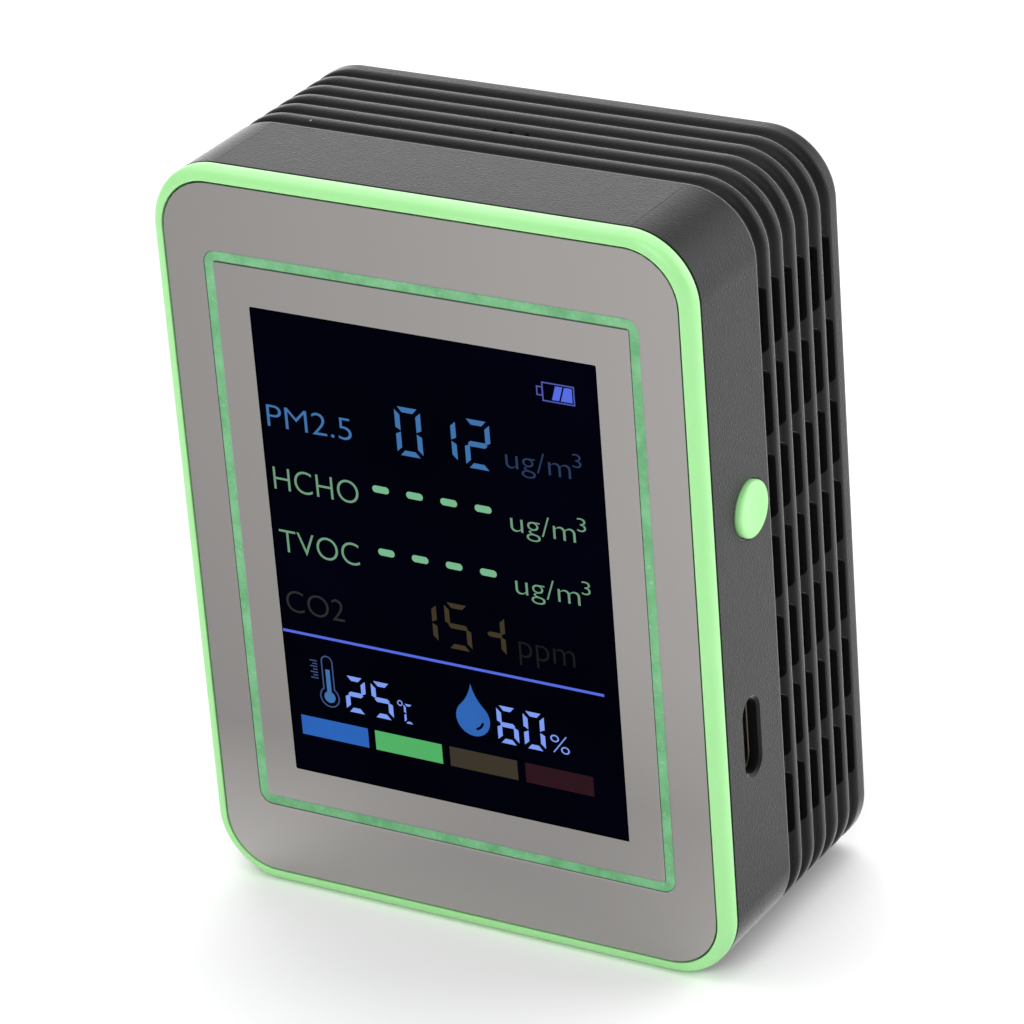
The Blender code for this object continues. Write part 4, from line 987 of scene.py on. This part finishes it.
def gases():
    """Formaldehyde and organic vapours, which show dashes, and the units of the three upper rows."""
    row_pitch, dash_pitch, dash = 7.63, 4.3, (2.1, 0.84)
    for row, (label, right) in enumerate((("HCHO", -9.64), ("TVOC", -10.3))):
        drop = row_pitch * row
        name = lettering(label, -20.6, right, 50.82 - drop, 53.57 - drop)
        reading(f"gas_label_{row + 1}", "leaf_soft", name)
        dashes = [[rounded(*dash, 0.41, (-6.7 + dash_pitch * n, 53.15 - drop), 8)] for n in range(4)]
        reading(f"gas_dashes_{row + 1}", "leaf", *flat(dashes))
    for number, (ink, base) in enumerate((("sky_dim", 58.64), ("leaf_soft", 51.14), ("leaf_soft", 43.64)), 1):
        reading(f"unit_{number}", ink, lettering("ug/m", 9.5, 17.5, base - 0.75, base + 2.45))
        reading(f"unit_power_{number}", ink, lettering("3", 17.75, 18.85, base + 1.5, base + 3.1))


def carbon():
    """Carbon dioxide on barely lit segments, and the line under it."""
    reading("carbon_label", "grey", lettering("CO2", -20.57, -13.0, 35.79, 38.46))
    stroke, high = 0.6, 40.6
    figures = digit("1", -4.1, -0.93, 35.54, high, stroke) + digit("5", 0.14, 3.36, 35.3, 40.9, stroke)
    figures += digit("4", 5.04, 7.7, 35.5, high, stroke)
    reading("carbon_figures", "amber", *flat(figures))
    reading("carbon_unit", "dim", lettering("ppm", 9.3, 16.3, 35.0, 37.9))
    reading("divider", "violet", *flat([[bar(-21.4, 19.6, 33.13, 33.45)]]))


def temperature():
    """A thermometer, which is a tube with a bulb, its column and a scale, and the temperature."""
    x, low, top = -16.0, 25.85, 31.05
    bulb, tube, wall = 1.3, 0.78, 0.17
    rings = []
    for inset in (0.0, wall):
        radius, half = bulb - inset, tube - inset
        gap = math.degrees(math.asin(half / radius))
        rings.append(open_circle(x, low, radius, gap) + arc(x, top - tube, half, 0, 180))
    reading("thermometer_outline", "thermometer", *flat([rings]))
    radius, half, level = 0.72, 0.28, 29.3
    gap = math.degrees(math.asin(half / radius))
    column = open_circle(x, low, radius, gap) + [(x + half, level), (x - half, level)]
    reading("thermometer_column", "sky", *flat([[column]]))
    ticks = []
    for n in range(7):
        start, z = (-18.25, -17.9)[n % 2], 27.9 + 0.36 * n
        ticks.append([bar(start, -17.3, z, z + 0.14)])
    reading("thermometer_scale", "thermometer", *flat(ticks))
    stroke, low, high = 0.58, 24.57, 29.1
    figures = digit("2", -13.86, -11.18, low, high, stroke) + digit("5", -10.4, -7.71, low, high, stroke)
    reading("temperature_figures", "ice", *flat(figures))
    degree = [circle(radius, (-6.75, 27.0), 20) for radius in (0.36, 0.22)]
    reading("temperature_unit", "ice", *flat([degree, *digit("C", -6.3, -5.1, 24.6, 27.04, 0.26)]))


def humidity():
    """A drop, which is round and runs up to a point, with a crescent left dark, and the humidity."""
    x, z, radius, tip = 2.66, 26.98, 2.15, 31.3
    body = open_circle(x, z, radius, 0.82 * math.degrees(math.acos(radius / (tip - z))), 40)
    shoulder, bend, point = Vector(body[-1]), Vector((x + 0.38, z + 2.6)), Vector((x, tip))
    steps = 8
    flank = []
    for step in range(1, steps):
        t = step / steps
        flank.append(tuple((1 - t) ** 2 * shoulder + 2 * t * (1 - t) * bend + t**2 * point))
    drop = body + flank + [(x, tip)] + [(2 * x - px, pz) for px, pz in reversed(flank)]
    crescent = arc(x, z, 1.42, -75, -13) + arc(x, z, 1.12, -13, -75)
    reading("humidity_drop", "drop", *flat([[drop, crescent]]))
    stroke, low, high = 0.58, 24.75, 29.36
    figures = digit("6", 5.75, 8.4, low, high, stroke) + digit("0", 9.1, 11.75, low, high, stroke)
    reading("humidity_figures", "ice", *flat(figures))
    reading("humidity_unit", "ice", lettering("%", 12.4, 14.75, 24.95, 27.12))


def level_bars():
    """Four bars for good to poor air, two of them barely lit."""
    ends = ((-20.14, -11.36), (-10.43, -1.75), (-0.75, 7.89), (8.9, 17.46))
    for number, (left, right) in enumerate(ends, 1):
        reading(f"level_bar_{number}", f"level_{number}", *flat([[bar(left, right, 20.4, 22.84)]]))


def display_items():
    """The readings, units, icons and level bars, all generic."""
    battery()
    particles()
    gases()
    carbon()
    temperature()
    humidity()
    level_bars()


# What moves, and what is set into the side


def button():
    """The push button: a soft dished face, a flange inside the wall and a stem."""
    face, inside, flange = BUTTON_HIGH.x, INNER_SIDE - GAP, (BUTTON_HIGH.y - BUTTON_LOW.y) / 2
    steps = 10
    profile = []
    for step in range(1, steps + 1):
        share = step / steps
        rise = max(0.0, share - BUTTON_FLAT) / (1 - BUTTON_FLAT)
        profile.append((BUTTON_CREST * share, face - BUTTON_DISH * (0.5 + 0.5 * math.cos(math.pi * rise))))
    for step in range(1, steps + 1):
        angle = math.pi / 2 * step / steps
        radius = BUTTON_RADIUS - BUTTON_RIM * (1 - math.sin(angle))
        profile.append((radius, face - BUTTON_FALL * (1 - math.cos(angle))))
    profile += [(BUTTON_RADIUS, inside), (flange, inside), (flange, inside - FLANGE),
                (STEM_RADIUS, inside - FLANGE), (STEM_RADIUS, BUTTON_LOW.x)]
    show("push_button", set_in_side(turned(profile, 64), BUTTON_LOW, BUTTON_HIGH), "green_frame",
         body="button", replaces=["power_button"])


def socket_sleeve():
    """The charging socket's folded steel shell, with a rolled lip."""
    tall, wide = SOCKET_HIGH.y - SOCKET_LOW.y, SOCKET_HIGH.z - SOCKET_LOW.z
    rear, mouth, wall = SOCKET_LOW.x, SOCKET_HIGH.x, 0.3 * MM
    section = filleted([(0, rear, 0), (0, mouth, 0.1 * MM), (wall, mouth, 0.14 * MM),
                        (wall, rear + 0.6 * MM, 0)], steps=3)
    stations = []
    for inset, x in section:
        outline = rounded(tall - 2 * inset, wide - 2 * inset, tall / 2 - inset - HAIR, steps=12)
        stations.append((outline, x))
    show("socket_sleeve", set_in_side(layered(stations), SOCKET_LOW, SOCKET_HIGH),
         "steel", metal("dark_steel", (0.13, 0.11, 0.09), 0.4), replaces=["socket_shell"])


def socket_blade():
    """The socket's tongue, and the contacts on both of its faces."""
    width, height = TONGUE_HIGH.y - TONGUE_LOW.y, TONGUE_HIGH.z - TONGUE_LOW.z
    tip, soft = TONGUE_HIGH.x, 0.12 * MM
    outline = rounded(width, height, 0.2 * MM, steps=4)
    end = rounded(width - soft, height - soft, 0.15 * MM, steps=4)
    blade = layered([(outline, TONGUE_LOW.x), (outline, tip - soft), (end, tip)])
    show("socket_blade", set_in_side(blade, SOCKET_LOW, SOCKET_HIGH), "black_plastic",
         replaces=["socket_tongue"])
    contact = (2.7 * MM, 0.06 * MM, 0.26 * MM)
    pitch, count, set_back = 0.5 * MM, 12, 0.5 * MM
    contacts = []
    for side in (-1, 1):
        y = (SOCKET_LOW.y + SOCKET_HIGH.y) / 2 + side * width / 2 - contact[1] / 2
        for n in range(count):
            z = (SOCKET_LOW.z + SOCKET_HIGH.z) / 2 + (n - (count - 1) / 2) * pitch - contact[2] / 2
            low = (tip - set_back - contact[0], y, z)
            contacts.append(box(low, (tip - set_back, y + contact[1], z + contact[2])))
    show("socket_contacts", contacts, "brass", weighted=False)


def screw_mesh(name, seat, shank):
    """A pan-head screw with a cross recess, made on its own axis with its head's underside at y = 0."""
    low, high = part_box(f"{name}_1")
    head_radius, head, length = (high.x - low.x) / 2, high.y - seat, seat - low.y
    core, pitch = 0.8 * shank, 0.45 * shank
    profile = [(0.12 * shank, -length), (core, shank - length)]
    for n in range(int((length - 2 * shank) / pitch)):
        y = shank - length + (n + 0.5) * pitch
        profile += [(core, y), (shank, y + 0.12 * shank), (core, y + 0.24 * shank)]
    profile += [(shank, -0.1 * head), (shank, 0), (head_radius - 0.05 * head, 0), (head_radius, 0.08 * head)]
    steps = 8
    for step in range(1, steps + 1):
        angle = math.pi / 2 * step / steps
        profile.append((head_radius * (0.45 + 0.55 * math.cos(angle)), head * (0.3 + 0.7 * math.sin(angle))))
    reach, wing, depth = 0.62 * head_radius, 0.16 * head_radius, 0.55 * head
    arm_top = rounded(2 * reach, 2 * wing, 0.5 * wing, steps=3)
    arm_low = rounded(1.2 * reach, 1.3 * wing, 0.4 * wing, steps=3)
    arm = layered([(arm_low, head - depth), (arm_top, 1.1 * head)])
    cross = combined(mesh_of("arm", [arm]), "UNION", [moved(arm, Matrix.Rotation(math.pi / 2, 4, "Y"))])
    recess = ([tuple(v.co) for v in cross.vertices], [tuple(p.vertices) for p in cross.polygons])
    return combined(mesh_of(name, [turned(profile, 32)]), "DIFFERENCE", [recess])


def screws():
    """Four case screws and four board screws, none of them turned like the next."""
    board_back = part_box("main_board")[1].y
    for name, places, seat, shank in (
        ("case_screw", POSTS, HEAD_SEAT + TOUCH, CASE_SHANK),
        ("board_screw", BOSSES, board_back + TOUCH, BOARD_SHANK),
    ):
        mesh = screw_mesh(name, seat, shank)
        for number, (x, z) in enumerate(places, 1):
            copy = mesh.copy()
            copy.transform(at(x, seat, z) @ Matrix.Rotation(math.radians(SCREW_TURN * number), 4, "Y"))
            show(f"{name}_{number}_turned", copy, "steel", replaces=[f"{name}_{number}"])


# The studio


def studio():
    """A plain pale floor and plain soft light."""
    half = 4.0
    mesh = bpy.data.meshes.new("floor")
    corner_points = [(-half, -half, 0), (half, -half, 0), (half, half, 0), (-half, half, 0)]
    mesh.from_pydata(corner_points, [], [(0, 1, 2, 3)])
    mesh.materials.append(Surface("floor", (0.95, 0.95, 0.95), 0.8, Specular_IOR_Level=0.1).material)
    in_scene("floor", mesh)

    world = bpy.data.worlds.new("studio")
    bpy.context.scene.world = world
    world.use_nodes = True
    sky = world.node_tree.nodes["Background"].inputs
    sky["Color"].default_value = (1.0, 1.0, 1.0, 1)
    sky["Strength"].default_value = 0.25

    lights = (
        ("overhead", (-0.3, 0.1, 1.3), 1.7, 16.0),
        ("front", (0.2, -1.4, 1.0), 1.0, 13.0),
        ("back_left", (-0.75, 1.2, 0.8), 1.6, 12.0),
        ("back_right", (1.15, 1.15, 0.6), 1.6, 27.0),
    )
    for name, place, size, power in lights:
        data = bpy.data.lights.new(name, "AREA")
        data.size = size
        data.energy = power
        lamp = in_scene(name, data)
        lamp.location = place
        aim = Vector((0, 0, MIDDLE)) - Vector(place)
        lamp.rotation_euler = aim.to_track_quat("-Z", "Y").to_euler()


def camera():
    """A long lens that looks down at the monitor's front right corner, rolled a little."""
    azimuth, elevation, roll = math.radians(32.17), math.radians(25.65), math.radians(-4.57)
    distance = 6.330 * HEIGHT
    target = Vector((-0.35 * MM, 0, MIDDLE + 0.3 * MM))
    back = Vector((math.sin(azimuth) * math.cos(elevation), -math.cos(azimuth) * math.cos(elevation),
                   math.sin(elevation)))
    right = Vector((math.cos(azimuth), math.sin(azimuth), 0))
    up = back.cross(right)
    cos, sin = math.cos(roll), math.sin(roll)
    across, upward = cos * right + sin * up, cos * up - sin * right
    data = bpy.data.cameras.new("camera")
    data.sensor_width = 36
    data.lens = 176.8
    data.clip_start = 0.01
    data.clip_end = 20
    view = in_scene("camera", data)
    turn = Matrix((across, upward, back)).transposed().to_4x4()
    view.matrix_world = Matrix.Translation(target + distance * back) @ turn
    bpy.context.scene.camera = view
    bpy.context.scene.view_settings.view_transform = "Standard"


def main():
    camera()
    studio()
    dress_cad_nodes()
    tub()
    rim_and_frame()
    mirror_panel()
    green_line()
    display_window()
    display_items()
    button()
    socket_sleeve()
    socket_blade()
    screws()


main()
